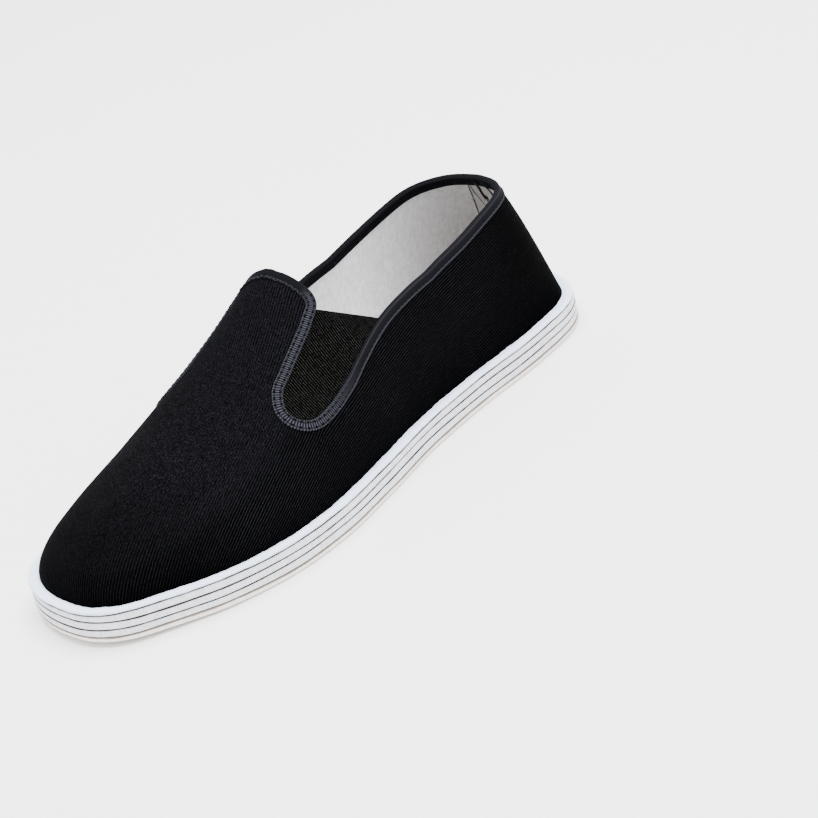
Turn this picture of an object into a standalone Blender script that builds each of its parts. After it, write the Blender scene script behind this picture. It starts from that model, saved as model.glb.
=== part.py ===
"""Cloth slip-on shoe for the left foot, with a layered cloth sole.

Frame: +X runs from the heel to the toe, +Y to the wearer's left (the outer side of
this left shoe), +Z up, with the origin on the floor under the middle of the sole.
Lengths are in metres.
"""
import bpy
import numpy as np

MM = 0.001

# Sole: plan and side
SOLE_LENGTH = 275.0 * MM
BALL_WIDTH = 104.0 * MM
HEEL_ROUND = 33.5 * MM
TOE_ROUND = 28.7 * MM
TOE_SPRING = 2.3 * MM
OUTSOLE_THICKNESS = 2.2 * MM
LAYER_THICKNESS = 2.9 * MM
LAYER_COUNT = 3
WELT_SEAT = 0.8 * MM
WELT_BEAD = 0.8 * MM
WELT_SHOW = 4.5 * MM
CLOTH_ROLL = 0.7 * MM
OUTSOLE_TUCK = 1.6 * MM

# Upper: heights over the seat that it is sewn to
HEEL_HEIGHT = 53.0 * MM
INSTEP_HEIGHT = 72.0 * MM
TOE_HEIGHT = 28.5 * MM
TOE_DOME = 46.0 * MM
HEEL_DOME = 73.0 * MM
CREST_LEAN = 3.2 * MM
WALL = 1.8 * MM

# Tape on the edge of the opening, elastic and insole
TAPE_THICKNESS = 0.7 * MM
TAPE_LEG = 3.8 * MM
ELASTIC_THICKNESS = 1.0 * MM
INSOLE_THICKNESS = 2.0 * MM

# Clearance between pieces that touch, and round a loose insole
GAP = 0.3 * MM
INSOLE_CLEARANCE = 0.9 * MM

# Roundness of the ends of the outline: 2 is a circle, more is squarer
HEEL_ROUND_POWER = 2.6
TOE_ROUND_POWER = 2.1

# Share of the sole's length at which the toe starts to lift
SPRING_START = 0.72

# Half widths of the sole from the axis, as shares of the ball width
# station from the heel, outer side, inner side
OUTLINE = (
    (0.00, 0.339, 0.306),
    (0.08, 0.347, 0.330),
    (0.18, 0.368, 0.345),
    (0.30, 0.367, 0.328),
    (0.42, 0.390, 0.336),
    (0.54, 0.449, 0.424),
    (0.65, 0.490, 0.498),
    (0.75, 0.475, 0.511),
    (0.85, 0.393, 0.474),
    (0.93, 0.284, 0.425),
    (1.00, 0.264, 0.411),
)

# Crest over the foot, as shares of the three heights
# station from the heel, of the heel crest, of the instep height, of the toe height
CREST = (
    (0.27, 1.00, 0.000, 0.000),
    (0.39, 0.55, 0.487, 0.000),
    (0.45, 0.22, 0.823, 0.000),
    (0.50, 0.00, 1.000, 0.000),
    (0.56, 0.00, 0.770, 0.162),
    (0.62, 0.00, 0.540, 0.346),
    (0.68, 0.00, 0.330, 0.583),
    (0.74, 0.00, 0.170, 0.793),
    (0.80, 0.00, 0.050, 0.948),
    (0.84, 0.00, 0.000, 1.000),
)

# Fullness of the walls: share along the feather line, sideways power, upward power
FULLNESS = (
    (0.00, 4.14, 0.96),
    (0.25, 4.14, 0.96),
    (0.45, 2.20, 1.98),
    (0.70, 2.24, 1.91),
    (1.00, 2.28, 1.91),
)

# Edge of the opening, on either side
# place, share along the feather line, share of the rise from feather line to crest
OPENING = (
    ("heel seam", 0.000, 0.567),
    ("heel", 0.060, 0.582),
    ("heel side", 0.130, 0.599),
    ("collar back", 0.200, 0.588),
    ("collar", 0.259, 0.558),
    ("collar front", 0.319, 0.498),
    ("slot shoulder", 0.369, 0.443),
    ("slot mouth", 0.410, 0.401),
    ("slot back", 0.448, 0.365),
    ("slot back low", 0.488, 0.343),
    ("slot bottom back", 0.529, 0.336),
    ("slot bottom", 0.569, 0.350),
    ("slot bottom front", 0.602, 0.391),
    ("slot foot", 0.620, 0.452),
    ("slot turn low", 0.628, 0.511),
    ("slot turn", 0.628, 0.568),
    ("front foot", 0.616, 0.614),
    ("slot front low", 0.579, 0.622),
    ("slot front", 0.538, 0.620),
    ("slot front high", 0.501, 0.624),
    ("tongue corner", 0.474, 0.647),
    ("tongue side", 0.463, 0.695),
    ("tongue shoulder", 0.458, 0.740),
    ("tongue top side", 0.451, 0.800),
    ("tongue top", 0.441, 0.875),
    ("tongue middle", 0.427, 0.955),
    ("crest", 0.413, 1.000),
)

# Numbers of facets
SOLE_STATIONS = 40
QUARTER_COLUMNS = 24
QUARTER_ROWS = 6
VAMP_COLUMNS = 18
TURN_ROWS = 4
TONGUE_COLUMNS = 6
TONGUE_ROWS = 6
ELASTIC_ROWS = 8
ELASTIC_COLUMNS = 4

OUTER, INNER = 1, -1
HALF_LENGTH = SOLE_LENGTH / 2
LAYER_PITCH = LAYER_THICKNESS + GAP
WELT_BASE = OUTSOLE_THICKNESS + GAP + LAYER_COUNT * LAYER_PITCH
SEAT = WELT_BASE + WELT_SEAT
FEATHER = SEAT + GAP


def smooth(rows, column, at):
    """Smooth curve through a table: cubic between rows, slopes from the rows beside."""
    knots = np.array([row[0] for row in rows], float)
    values = np.array([row[column] for row in rows], float)
    return cubic(knots, values, at)


def cubic(knots, values, at):
    """Cubic through the knots, with each slope taken from the neighbouring knots."""
    slopes = np.gradient(values, knots)
    at = np.clip(at, knots[0], knots[-1])
    low = np.clip(np.searchsorted(knots, at, side="right") - 1, 0, len(knots) - 2)
    span = knots[low + 1] - knots[low]
    u = (at - knots[low]) / span
    start = (2 * u**3 - 3 * u**2 + 1) * values[low] + (u**3 - 2 * u**2 + u) * span * slopes[low]
    end = (3 * u**2 - 2 * u**3) * values[low + 1] + (u**3 - u**2) * span * slopes[low + 1]
    return start + end


def round_end(distance, length, power):
    """Rises from 0 at an end to 1 at the given length, like a quarter of an oval."""
    share = np.clip(distance / length, 0, 1)
    return np.maximum(1 - (1 - share) ** power, 0) ** (1 / power)


def raw_outline(side, station):
    """Half width of the sole at a station, with its round ends."""
    width = BALL_WIDTH * smooth(OUTLINE, 1 if side == OUTER else 2, station)
    heel = round_end(station * SOLE_LENGTH, HEEL_ROUND, HEEL_ROUND_POWER)
    toe = round_end((1 - station) * SOLE_LENGTH, TOE_ROUND, TOE_ROUND_POWER)
    return width * heel * toe


ALL_STATIONS = np.linspace(0, 1, 2001)
AXIS_Y = (raw_outline(INNER, ALL_STATIONS).max() - raw_outline(OUTER, ALL_STATIONS).max()) / 2


def outline(side, inset, count):
    """Edge of the sole on one side, heel to toe, moved inward along its own normal."""
    turn = np.linspace(0, np.pi, count)
    step = 1e-4

    def place(angle):
        station = (1 - np.cos(angle)) / 2
        return SOLE_LENGTH * station - HALF_LENGTH, side * raw_outline(side, station)

    x, y = place(turn)
    x_before, y_before = place(np.maximum(turn - step, 0))
    x_after, y_after = place(np.minimum(turn + step, np.pi))
    along_x = x_after - x_before
    along_y = y_after - y_before
    along_x[[0, -1]] = 0
    along_y[[0, -1]] = (side, -side)
    size = np.hypot(along_x, along_y)
    x = x + side * inset * along_y / size
    y = y - side * inset * along_x / size
    y[[0, -1]] = 0
    return x, y + AXIS_Y


def lift(x):
    """Height of the sole's underside: flat, then rising to the toe spring."""
    share = (x / SOLE_LENGTH + 0.5 - SPRING_START) / (1 - SPRING_START)
    return TOE_SPRING * np.clip(share, 0, 1) ** 2


def feather_table(side):
    """Feather line of one side: shares of its length with the x and y there."""
    x, y = outline(side, WELT_SHOW, 1601)
    travel = np.concatenate(([0], np.cumsum(np.hypot(np.diff(x), np.diff(y)))))
    return travel / travel[-1], x, y


FEATHER_LINES = {side: feather_table(side) for side in (OUTER, INNER)}


def rise_share(up, power):
    """Share of the full height reached at a share of the rise."""
    return np.sin(np.pi * np.clip(up, 0, 1) / 2) ** (2 / power)


HEEL_CREST = HEEL_HEIGHT / rise_share(OPENING[0][2], FULLNESS[0][2])


def crest_height(x):
    """Height of the crest over the feather line."""
    station = x / SOLE_LENGTH + 0.5
    heel = HEEL_CREST * smooth(CREST, 1, station)
    instep = INSTEP_HEIGHT * smooth(CREST, 2, station)
    return heel + instep + TOE_HEIGHT * smooth(CREST, 3, station)


def surface(along, up, side):
    """Outside of the upper.

    Each rib is a quarter of a superellipse from the feather line to the crest. It
    leaves the crest with the crest's own slope. Past the heel seam, the toe or the
    crest the surface goes on down the other side.
    """
    along, up, side = np.broadcast_arrays(along, up, side)
    over = (along < 0) ^ (along > 1) ^ (up > 1)
    side = np.where(over, -side, side)
    along = np.abs(np.where(along > 1, 2 - along, along))
    up = np.where(up > 1, 2 - up, up)
    foot = [np.where(side == OUTER, np.interp(along, FEATHER_LINES[OUTER][0], FEATHER_LINES[OUTER][axis]),
                     np.interp(along, FEATHER_LINES[INNER][0], FEATHER_LINES[INNER][axis]))
            for axis in (1, 2)]
    foot_z = FEATHER + lift(foot[0])
    back = HEEL_DOME - HALF_LENGTH
    front = HALF_LENGTH - TOE_DOME
    crest_x = back + (front - back) * along
    crest_y = AXIS_Y - CREST_LEAN * (crest_x - back) / (front - back)
    step = 0.5 * MM
    slope = (crest_height(crest_x + step) - crest_height(crest_x - step)) / (2 * step)
    slope = slope * np.clip((along - 0.3) / 0.2, 0, 1)
    spread = np.cos(np.pi * np.clip(up, 0, 1) / 2) ** (2 / smooth(FULLNESS, 1, along))
    rise = rise_share(up, smooth(FULLNESS, 2, along))
    x = crest_x + (foot[0] - crest_x) * spread
    y = crest_y + (foot[1] - crest_y) * spread
    height = FEATHER + crest_height(crest_x) - foot_z - slope * (crest_x - foot[0])
    z = foot_z + height * rise + slope * (x - foot[0])
    return np.stack([x, y, z], -1)


def frame_at(along, up, side):
    """Point, both surface directions per unit share, and outward normal."""
    step = 0.002
    at_toe = along > 1 - step
    low_up = np.where(at_toe, np.minimum(up, 1 - step), up)
    high_up = np.where(at_toe, np.minimum(up + step, 1), up + step)
    forward = (surface(along + step, low_up, side) - surface(along - step, low_up, side)) / (2 * step)
    upward = (surface(along, high_up, side) - surface(along, up - step, side)) / (2 * step)
    normal = np.cross(forward, upward) * np.asarray(side)[..., None] * -1
    normal /= np.linalg.norm(normal, axis=-1, keepdims=True)
    return surface(along, up, side), forward, upward, normal


def opening_path(first, last, count):
    """Evenly spaced shares (along, up) on the opening's edge between two named places."""
    names = [row[0] for row in OPENING]
    along = np.array([row[1] for row in OPENING])
    up = np.array([row[2] for row in OPENING])
    along = np.concatenate(([-along[1]], along, [along[-2]]))
    up = np.concatenate(([up[1]], up, [2 - up[-2]]))
    steps = np.hypot(np.diff(along) * 3.3, np.diff(up))
    travel = np.concatenate(([0], np.cumsum(steps)))
    at = np.linspace(travel[names.index(first) + 1], travel[names.index(last) + 1], count)
    return cubic(travel, along, at), cubic(travel, up, at)


def grid_faces(rows, columns, first=0):
    """Quads of a grid of points stored row by row."""
    low = np.arange(rows - 1)[:, None] * columns + np.arange(columns - 1)[None, :] + first
    return np.stack([low, low + 1, low + columns + 1, low + columns], -1).reshape(-1, 4)


def mesh_object(name, points, faces, material, sharp_angle=40.0):
    """Weld the points, drop folded faces and make a smooth-shaded object."""
    keys = np.round(np.asarray(points) / (0.001 * MM)).astype(np.int64)
    _, first, index = np.unique(keys, axis=0, return_index=True, return_inverse=True)
    index = index.reshape(-1)
    clean = []
    for face in faces:
        ring = []
        for corner in face:
            vertex = int(index[corner])
            if vertex not in ring:
                ring.append(vertex)
        if len(ring) > 2:
            clean.append(ring)
    mesh = bpy.data.meshes.new(name)
    mesh.from_pydata([tuple(p) for p in np.asarray(points)[first]], [], clean)
    mesh.shade_smooth()
    mesh.set_sharp_from_angle(angle=np.radians(sharp_angle))
    mesh.materials.append(material)
    shoe_piece = bpy.data.objects.new(name, mesh)
    bpy.context.collection.objects.link(shoe_piece)
    return shoe_piece


def material(name, colour, roughness):
    """Plain cloth finish: colour and roughness, not metallic."""
    finish = bpy.data.materials.new(name)
    finish.use_nodes = True
    shader = finish.node_tree.nodes["Principled BSDF"]
    shader.inputs["Base Color"].default_value = (*colour, 1.0)
    shader.inputs["Roughness"].default_value = roughness
    shader.inputs["Metallic"].default_value = 0.0
    return finish


def plate(name, base, profile, finish):
    """Closed layer of the sole.

    Each row of the profile is an inset from the sole's outline and a height over the
    base. The rings are joined by quads and the ends closed by strips across the sole.
    """
    count = SOLE_STATIONS + 1
    rings = []
    for inset, height in profile:
        outer_x, outer_y = outline(OUTER, inset, count)
        inner_x, inner_y = outline(INNER, inset, count)
        x = np.concatenate((outer_x, inner_x[-2:0:-1]))
        y = np.concatenate((outer_y, inner_y[-2:0:-1]))
        rings.append(np.stack([x, y, base + height + lift(x)], -1))
    around = len(rings[0])
    points = np.concatenate(rings)
    faces = []
    for ring in range(len(profile) - 1):
        for step in range(around):
            after = (step + 1) % around
            low = ring * around
            high = low + around
            faces.append((low + after, low + step, high + step, high + after))
    top = (len(profile) - 1) * around
    for step in range(SOLE_STATIONS):
        near = step
        far = (around - step) % around
        far_next = around - step - 1
        faces.append((near, near + 1, far_next, far))
        faces.append((top + near, top + far, top + far_next, top + near + 1))
    return mesh_object(name, points, faces, finish)


def rolled_edge(thickness):
    """Profile of a layer whose cloth is rolled over its edge, top and bottom."""
    shares = ((1.0, 0.0), (0.2, 0.25), (0.0, 0.5), (0.2, 0.75), (1.0, 1.0))
    return [(CLOTH_ROLL * roll, thickness * rise) for roll, rise in shares]


def outsole_profile():
    """Rounded lower edge that tucks in under the sole, and a rolled upper edge."""
    thickness = OUTSOLE_THICKNESS
    return [
        (OUTSOLE_TUCK, 0.0),
        (0.35 * OUTSOLE_TUCK, 0.16 * thickness),
        (0.05 * OUTSOLE_TUCK, 0.45 * thickness),
        (0.05 * OUTSOLE_TUCK, 0.75 * thickness),
        (CLOTH_ROLL, thickness),
    ]


def welt_profile():
    """Raised bead round the rim, falling to the seat of the upper."""
    return [
        (CLOTH_ROLL, 0.0),
        (0.1 * CLOTH_ROLL, 0.45 * WELT_SEAT),
        (0.0, WELT_SEAT),
        (0.08 * WELT_SHOW, WELT_SEAT + 0.65 * WELT_BEAD),
        (0.32 * WELT_SHOW, WELT_SEAT + WELT_BEAD),
        (0.72 * WELT_SHOW, WELT_SEAT + 0.70 * WELT_BEAD),
        (WELT_SHOW, WELT_SEAT),
    ]


def insole_profile():
    """Loose insole inside the upper, with a softened upper edge."""
    inset = WELT_SHOW + WALL + INSOLE_CLEARANCE
    return [
        (inset, 0.0),
        (inset, 0.7 * INSOLE_THICKNESS),
        (inset + 0.3 * INSOLE_THICKNESS, INSOLE_THICKNESS),
    ]


def upper_blocks():
    """Three grids of shares that cover one side of the upper round its slot.

    The quarter runs from the heel seam to the slot's foot, the lower vamp from there
    to the toe, and the tongue block from the slot's front edge up to the crest.
    """
    rows = np.linspace(0, 1, QUARTER_ROWS + 1)
    columns = np.linspace(0, 1, VAMP_COLUMNS + 1)
    along, up = opening_path("heel seam", "slot foot", QUARTER_COLUMNS + 1)
    quarter = (np.broadcast_to(along[None, :], (len(rows), len(along))), rows[:, None] * up[None, :])

    turn_along, turn_up = opening_path("slot foot", "front foot", TURN_ROWS + 1)
    left = np.concatenate((np.full(QUARTER_ROWS, turn_along[0]), turn_along))
    level = np.concatenate((rows[:-1] * turn_up[0], turn_up))
    vamp_along = left[:, None] + (1 - left[:, None]) * columns[None, :]
    vamp = (vamp_along, np.broadcast_to(level[:, None], vamp_along.shape))

    foot_along, foot_up = opening_path("tongue corner", "front foot", TONGUE_COLUMNS + 1)
    base_along = np.concatenate((foot_along[:-1], vamp_along[-1]))
    base_up = np.concatenate((foot_up[:-1], np.full(len(columns), turn_up[-1])))
    side_along, side_up = opening_path("tongue corner", "crest", TONGUE_ROWS + 1)
    share = (base_along - base_along[0]) / (1 - base_along[0])
    height = (side_up - side_up[0]) / (1 - side_up[0])
    tongue_along = side_along[:, None] + (1 - side_along[:, None]) * share[None, :]
    tongue_up = base_up[None, :] + (1 - base_up[None, :]) * height[:, None]
    return quarter, vamp, (tongue_along, tongue_up)


def upper_skin():
    """Outside of the whole upper: points, outward normals and faces, welded later."""
    points, normals, faces, start = [], [], [], 0
    for side in (OUTER, INNER):
        for along, up in upper_blocks():
            place, _, _, normal = frame_at(along, up, np.full(along.shape, side))
            quads = grid_faces(*along.shape, first=start)
            faces.extend(quads if side == INNER else quads[:, ::-1])
            points.append(place.reshape(-1, 3))
            normals.append(normal.reshape(-1, 3))
            start += along.size
    return np.concatenate(points), np.concatenate(normals), np.array(faces)


def open_edges(faces):
    """Directed edges that only one face uses."""
    pairs = np.concatenate([np.stack([faces[:, i], faces[:, (i + 1) % 4]], -1) for i in range(4)])
    known = {tuple(pair) for pair in pairs.tolist()}
    return [pair for pair in known if pair[::-1] not in known and pair[0] != pair[1]]


def make_upper(finish):
    """Hollow upper: the skin, its lining side one wall further in, and the rims."""
    points, normals, faces = upper_skin()
    keys = np.round(points / (0.001 * MM)).astype(np.int64)
    _, first, index = np.unique(keys, axis=0, return_index=True, return_inverse=True)
    index = index.reshape(-1)
    place = points[first]
    normal = np.zeros_like(place)
    np.add.at(normal, index, normals)
    normal /= np.linalg.norm(normal, axis=1, keepdims=True)
    faces = index[faces]
    inside = place - WALL * normal
    at_feather = np.abs(place[:, 2] - FEATHER - lift(place[:, 0])) < 0.01 * MM
    inside[at_feather, 2] = place[at_feather, 2]
    count = len(place)
    rims = [(b, a, a + count, b + count) for a, b in open_edges(faces)]
    all_faces = faces.tolist() + (faces[:, ::-1] + count).tolist() + rims
    return mesh_object("upper", np.concatenate((place, inside)), all_faces, finish)


def tape_path():
    """Shares and side of each point round the whole opening, as one closed loop."""
    parts = (
        ("heel seam", "slot foot", QUARTER_COLUMNS),
        ("slot foot", "front foot", TURN_ROWS),
        ("front foot", "tongue corner", TONGUE_COLUMNS),
        ("tongue corner", "crest", TONGUE_ROWS),
    )
    along, up = [], []
    for first, last, count in parts:
        part_along, part_up = opening_path(first, last, count + 1)
        along.append(part_along[:-1])
        up.append(part_up[:-1])
    crest_along, crest_up = opening_path("crest", "crest", 1)
    along = np.concatenate(along + [crest_along])
    up = np.concatenate(up + [crest_up])
    sides = np.concatenate((np.full(len(along), OUTER), np.full(len(along) - 2, INNER)))
    return np.concatenate((along, along[-2:0:-1])), np.concatenate((up, up[-2:0:-1])), sides


def shares_of(target, forward, upward):
    """Changes of the two shares that move a surface point by a small vector."""
    ff = (forward * forward).sum(-1)
    uu = (upward * upward).sum(-1)
    fu = (forward * upward).sum(-1)
    ft = (forward * target).sum(-1)
    ut = (upward * target).sum(-1)
    size = ff * uu - fu * fu
    return (ft * uu - ut * fu) / size, (ut * ff - ft * fu) / size


def step_in(along, up, side, path, distance, steps=4):
    """Walk from the edge into the cloth, square to the edge and along the surface."""
    for _ in range(steps):
        _, forward, upward, normal = frame_at(along, up, side)
        inward = np.cross(normal, path)
        inward /= np.linalg.norm(inward, axis=-1, keepdims=True)
        more_along, more_up = shares_of(inward * distance / steps, forward, upward)
        along = along + more_along
        up = up + more_up
    place, _, _, normal = frame_at(along, up, side)
    return place, normal


def path_direction(place):
    """Unit direction along a closed loop of points."""
    ahead = np.roll(place, -1, axis=0) - np.roll(place, 1, axis=0)
    return ahead / np.linalg.norm(ahead, axis=1, keepdims=True)


def make_tape(finish):
    """Folded tape: two legs along the cloth and a round crown over its edge."""
    along, up, side = tape_path()
    edge, _, _, normal = frame_at(along, up, side)
    path = path_direction(edge)
    inward = np.cross(normal, path)
    inward /= np.linalg.norm(inward, axis=1, keepdims=True)
    middle = edge - normal * WALL / 2
    reach = WALL / 2 + GAP + TAPE_THICKNESS
    crown = GAP + TAPE_THICKNESS
    half_leg, half_normal = step_in(along, up, side, path, TAPE_LEG / 2)
    leg, leg_normal = step_in(along, up, side, path, TAPE_LEG)
    section = [
        leg + leg_normal * (GAP + TAPE_THICKNESS),
        half_leg + half_normal * (GAP + TAPE_THICKNESS),
    ]
    for turn in np.linspace(0, np.pi, 5):
        section.append(middle + normal * reach * np.cos(turn) - inward * crown * np.sin(turn))
    section += [
        half_leg - half_normal * (WALL + GAP + TAPE_THICKNESS),
        leg - leg_normal * (WALL + GAP + TAPE_THICKNESS),
        leg - leg_normal * (WALL + GAP),
        half_leg - half_normal * (WALL + GAP),
        edge - normal * (WALL + GAP) - inward * GAP,
        edge + normal * GAP - inward * GAP,
        half_leg + half_normal * GAP,
        leg + leg_normal * GAP,
    ]
    rings = np.stack(section, 1)
    around = rings.shape[1]
    count = rings.shape[0]
    faces = []
    for ring in range(count):
        for step in range(around):
            here = ring * around
            ahead = (ring + 1) % count * around
            after = (step + 1) % around
            faces.append((here + step, here + after, ahead + after, ahead + step))
    return mesh_object("binding", rings.reshape(-1, 3), faces, finish)


def elastic_border(first, last, side, above, clearance):
    """Line in the middle of the wall, the given distance inside the slot's edge.

    The slot lies above the edge where above is 1, and below it where above is -1.
    """
    along, up = opening_path(first, last, ELASTIC_ROWS + 1)
    side = np.full(len(along), side)
    _, forward, upward, normal = frame_at(along, up, side)
    path = forward * np.gradient(along)[:, None] + upward * np.gradient(up)[:, None]
    path /= np.linalg.norm(path, axis=1, keepdims=True)
    outward = np.cross(path, normal) * side[:, None] * above
    outward /= np.linalg.norm(outward, axis=1, keepdims=True)
    more_along, more_up = shares_of(outward * clearance, forward, upward)
    place, _, _, normal = frame_at(along + more_along, up + more_up, side)
    return place - normal * WALL / 2


def make_elastic(name, side, finish):
    """Elastic panel in the slot: straight from edge to edge, in the middle of the wall."""
    clearance = GAP + TAPE_THICKNESS + GAP
    back = elastic_border("slot mouth", "slot foot", side, 1, clearance)
    front = elastic_border("tongue corner", "slot foot", side, -1, clearance)
    back[-1] = front[-1] = (back[-1] + front[-1]) / 2
    share = np.linspace(0, 1, ELASTIC_COLUMNS + 1)[None, :, None]
    middle = back[:, None, :] + (front - back)[:, None, :] * share
    normal = np.cross(np.gradient(middle, axis=1), np.gradient(middle, axis=0)) * side
    normal[-1] = normal[-2]
    normal /= np.linalg.norm(normal, axis=-1, keepdims=True)
    normal[-1] = normal[-1].mean(axis=0)
    outside = (middle + normal * ELASTIC_THICKNESS / 2).reshape(-1, 3)
    inside = (middle - normal * ELASTIC_THICKNESS / 2).reshape(-1, 3)
    faces = grid_faces(*middle.shape[:2])
    faces = faces if side == OUTER else faces[:, ::-1]
    size = len(outside)
    rims = [(b, a, a + size, b + size) for a, b in open_edges(faces)]
    all_faces = faces.tolist() + (faces[:, ::-1] + size).tolist() + rims
    return mesh_object(name, np.concatenate((outside, inside)), all_faces, finish)


def main():
    for old in list(bpy.data.objects):
        bpy.data.objects.remove(old)
    black_twill = material("black_twill", (0.012, 0.012, 0.015), 0.92)
    black_tape = material("black_tape", (0.018, 0.018, 0.024), 0.80)
    black_elastic = material("black_elastic", (0.014, 0.013, 0.012), 0.85)
    white_cloth = material("white_cloth", (0.74, 0.74, 0.76), 0.90)
    white_tape = material("white_tape", (0.76, 0.80, 0.90), 0.85)
    cream_cloth = material("cream_cloth", (0.78, 0.74, 0.65), 0.95)
    grey_cotton = material("grey_cotton", (0.62, 0.61, 0.62), 0.95)

    plate("outsole", 0.0, outsole_profile(), cream_cloth)
    for number in range(LAYER_COUNT):
        base = OUTSOLE_THICKNESS + GAP + number * LAYER_PITCH
        plate("sole_layer_" + str(number + 1), base, rolled_edge(LAYER_THICKNESS), white_cloth)
    plate("welt", WELT_BASE, welt_profile(), white_tape)
    plate("insole", FEATHER, insole_profile(), grey_cotton)
    make_upper(black_twill)
    make_tape(black_tape)
    make_elastic("gusset_outer", OUTER, black_elastic)
    make_elastic("gusset_inner", INNER, black_elastic)


main()
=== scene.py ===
"""Looks of a cloth slip-on shoe for the left foot: black twill upper, white layered sole.

Frame: +X runs from the heel to the toe, +Y to the wearer's left (the outer side), +Z up,
with the origin on the floor under the middle of the sole. Lengths are in metres.

Places on the upper are given by two shares: along, from the heel seam (0) to the tip of
the toe (1), and up, from the feather line (0) to the crest over the foot (1).
"""

import bpy
import numpy as np
from mathutils import Matrix, Vector


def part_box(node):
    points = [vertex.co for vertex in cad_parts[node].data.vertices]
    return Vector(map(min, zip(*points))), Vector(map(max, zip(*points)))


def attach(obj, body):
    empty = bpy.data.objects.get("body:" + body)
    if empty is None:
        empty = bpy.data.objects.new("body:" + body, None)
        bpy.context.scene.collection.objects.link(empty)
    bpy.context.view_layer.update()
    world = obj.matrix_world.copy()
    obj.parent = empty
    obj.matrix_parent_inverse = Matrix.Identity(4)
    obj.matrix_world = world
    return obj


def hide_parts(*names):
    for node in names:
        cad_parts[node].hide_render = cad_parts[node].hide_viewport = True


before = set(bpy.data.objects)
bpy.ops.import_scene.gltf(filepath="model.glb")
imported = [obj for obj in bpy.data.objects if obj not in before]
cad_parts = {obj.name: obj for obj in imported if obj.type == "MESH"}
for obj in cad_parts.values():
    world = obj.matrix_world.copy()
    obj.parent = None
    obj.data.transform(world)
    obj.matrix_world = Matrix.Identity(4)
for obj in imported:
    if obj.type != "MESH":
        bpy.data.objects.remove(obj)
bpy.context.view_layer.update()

MM = 0.001
OUTER, INNER = 1, -1

# Sole, read from the frame where the frame shows it
sole_low, sole_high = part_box("sole_layer_1")
SOLE_LENGTH = sole_high.x - sole_low.x
HALF_LENGTH = SOLE_LENGTH / 2
BALL_WIDTH = 104.0 * MM
HEEL_ROUND = 33.5 * MM
TOE_ROUND = 28.7 * MM
TOE_SPRING = 2.3 * MM
OUTSOLE_THICKNESS = 2.2 * MM
LAYER_THICKNESS = 2.9 * MM
LAYER_COUNT = 3
WELT_SEAT = 0.8 * MM
WELT_BEAD = 0.8 * MM
WELT_SHOW = 4.5 * MM
OUTSOLE_TUCK = 1.6 * MM
HEEL_ROUND_POWER = 2.6
TOE_ROUND_POWER = 2.1
SPRING_START = 0.72

# Upper, tape, elastic and insole
HEEL_HEIGHT = 53.0 * MM
INSTEP_HEIGHT = 72.0 * MM
TOE_HEIGHT = 28.5 * MM
TOE_DOME = 46.0 * MM
HEEL_DOME = 73.0 * MM
TOE_FAN = 300 * MM
EDGE_WEIGHT = 3.3
CREST_LEAN = 3.2 * MM
WALL = 1.8 * MM
TAPE_LEG = 3.8 * MM
ELASTIC_THICKNESS = 1.0 * MM
INSOLE_THICKNESS = 2.0 * MM
GAP = 0.3 * MM
INSOLE_CLEARANCE = 0.9 * MM

# Half widths of the sole from the axis, as shares of the ball width
# station from the heel, outer side, inner side
OUTLINE = (
    (0.00, 0.339, 0.306),
    (0.08, 0.347, 0.330),
    (0.18, 0.368, 0.345),
    (0.30, 0.367, 0.328),
    (0.42, 0.390, 0.336),
    (0.54, 0.449, 0.424),
    (0.65, 0.490, 0.498),
    (0.75, 0.475, 0.511),
    (0.85, 0.393, 0.474),
    (0.93, 0.284, 0.425),
    (1.00, 0.264, 0.411),
)

# Crest over the foot, as shares of the three heights
# station from the heel, of the heel crest, of the instep height, of the toe height
CREST = (
    (0.27, 1.00, 0.000, 0.000),
    (0.39, 0.55, 0.487, 0.000),
    (0.45, 0.22, 0.823, 0.000),
    (0.50, 0.00, 1.000, 0.000),
    (0.56, 0.00, 0.770, 0.162),
    (0.62, 0.00, 0.540, 0.346),
    (0.68, 0.00, 0.330, 0.583),
    (0.74, 0.00, 0.170, 0.793),
    (0.80, 0.00, 0.050, 0.948),
    (0.84, 0.00, 0.000, 1.000),
)

# Fullness of the walls: share along the feather line, sideways power, upward power
FULLNESS = (
    (0.00, 4.14, 0.96),
    (0.25, 4.14, 0.96),
    (0.45, 2.20, 1.98),
    (0.70, 2.24, 1.91),
    (1.00, 2.28, 1.91),
)

# Edge of the opening, on either side: share along and share up of each place
OPENING = {
    "heel seam": (0.000, 0.567),
    "heel": (0.060, 0.582),
    "heel side": (0.130, 0.599),
    "collar back": (0.200, 0.588),
    "collar": (0.259, 0.558),
    "collar front": (0.319, 0.498),
    "slot shoulder": (0.369, 0.443),
    "slot mouth": (0.410, 0.401),
    "slot back": (0.448, 0.365),
    "slot back low": (0.488, 0.343),
    "slot bottom back": (0.529, 0.336),
    "slot bottom": (0.569, 0.350),
    "slot bottom front": (0.602, 0.391),
    "slot foot": (0.620, 0.452),
    "slot turn low": (0.628, 0.511),
    "slot turn": (0.628, 0.568),
    "front foot": (0.616, 0.614),
    "slot front low": (0.579, 0.622),
    "slot front": (0.538, 0.620),
    "slot front high": (0.501, 0.624),
    "tongue corner": (0.474, 0.647),
    "tongue side": (0.463, 0.695),
    "tongue shoulder": (0.458, 0.740),
    "tongue top side": (0.451, 0.800),
    "tongue top": (0.441, 0.875),
    "tongue middle": (0.427, 0.955),
    "crest": (0.413, 1.000),
}

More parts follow.
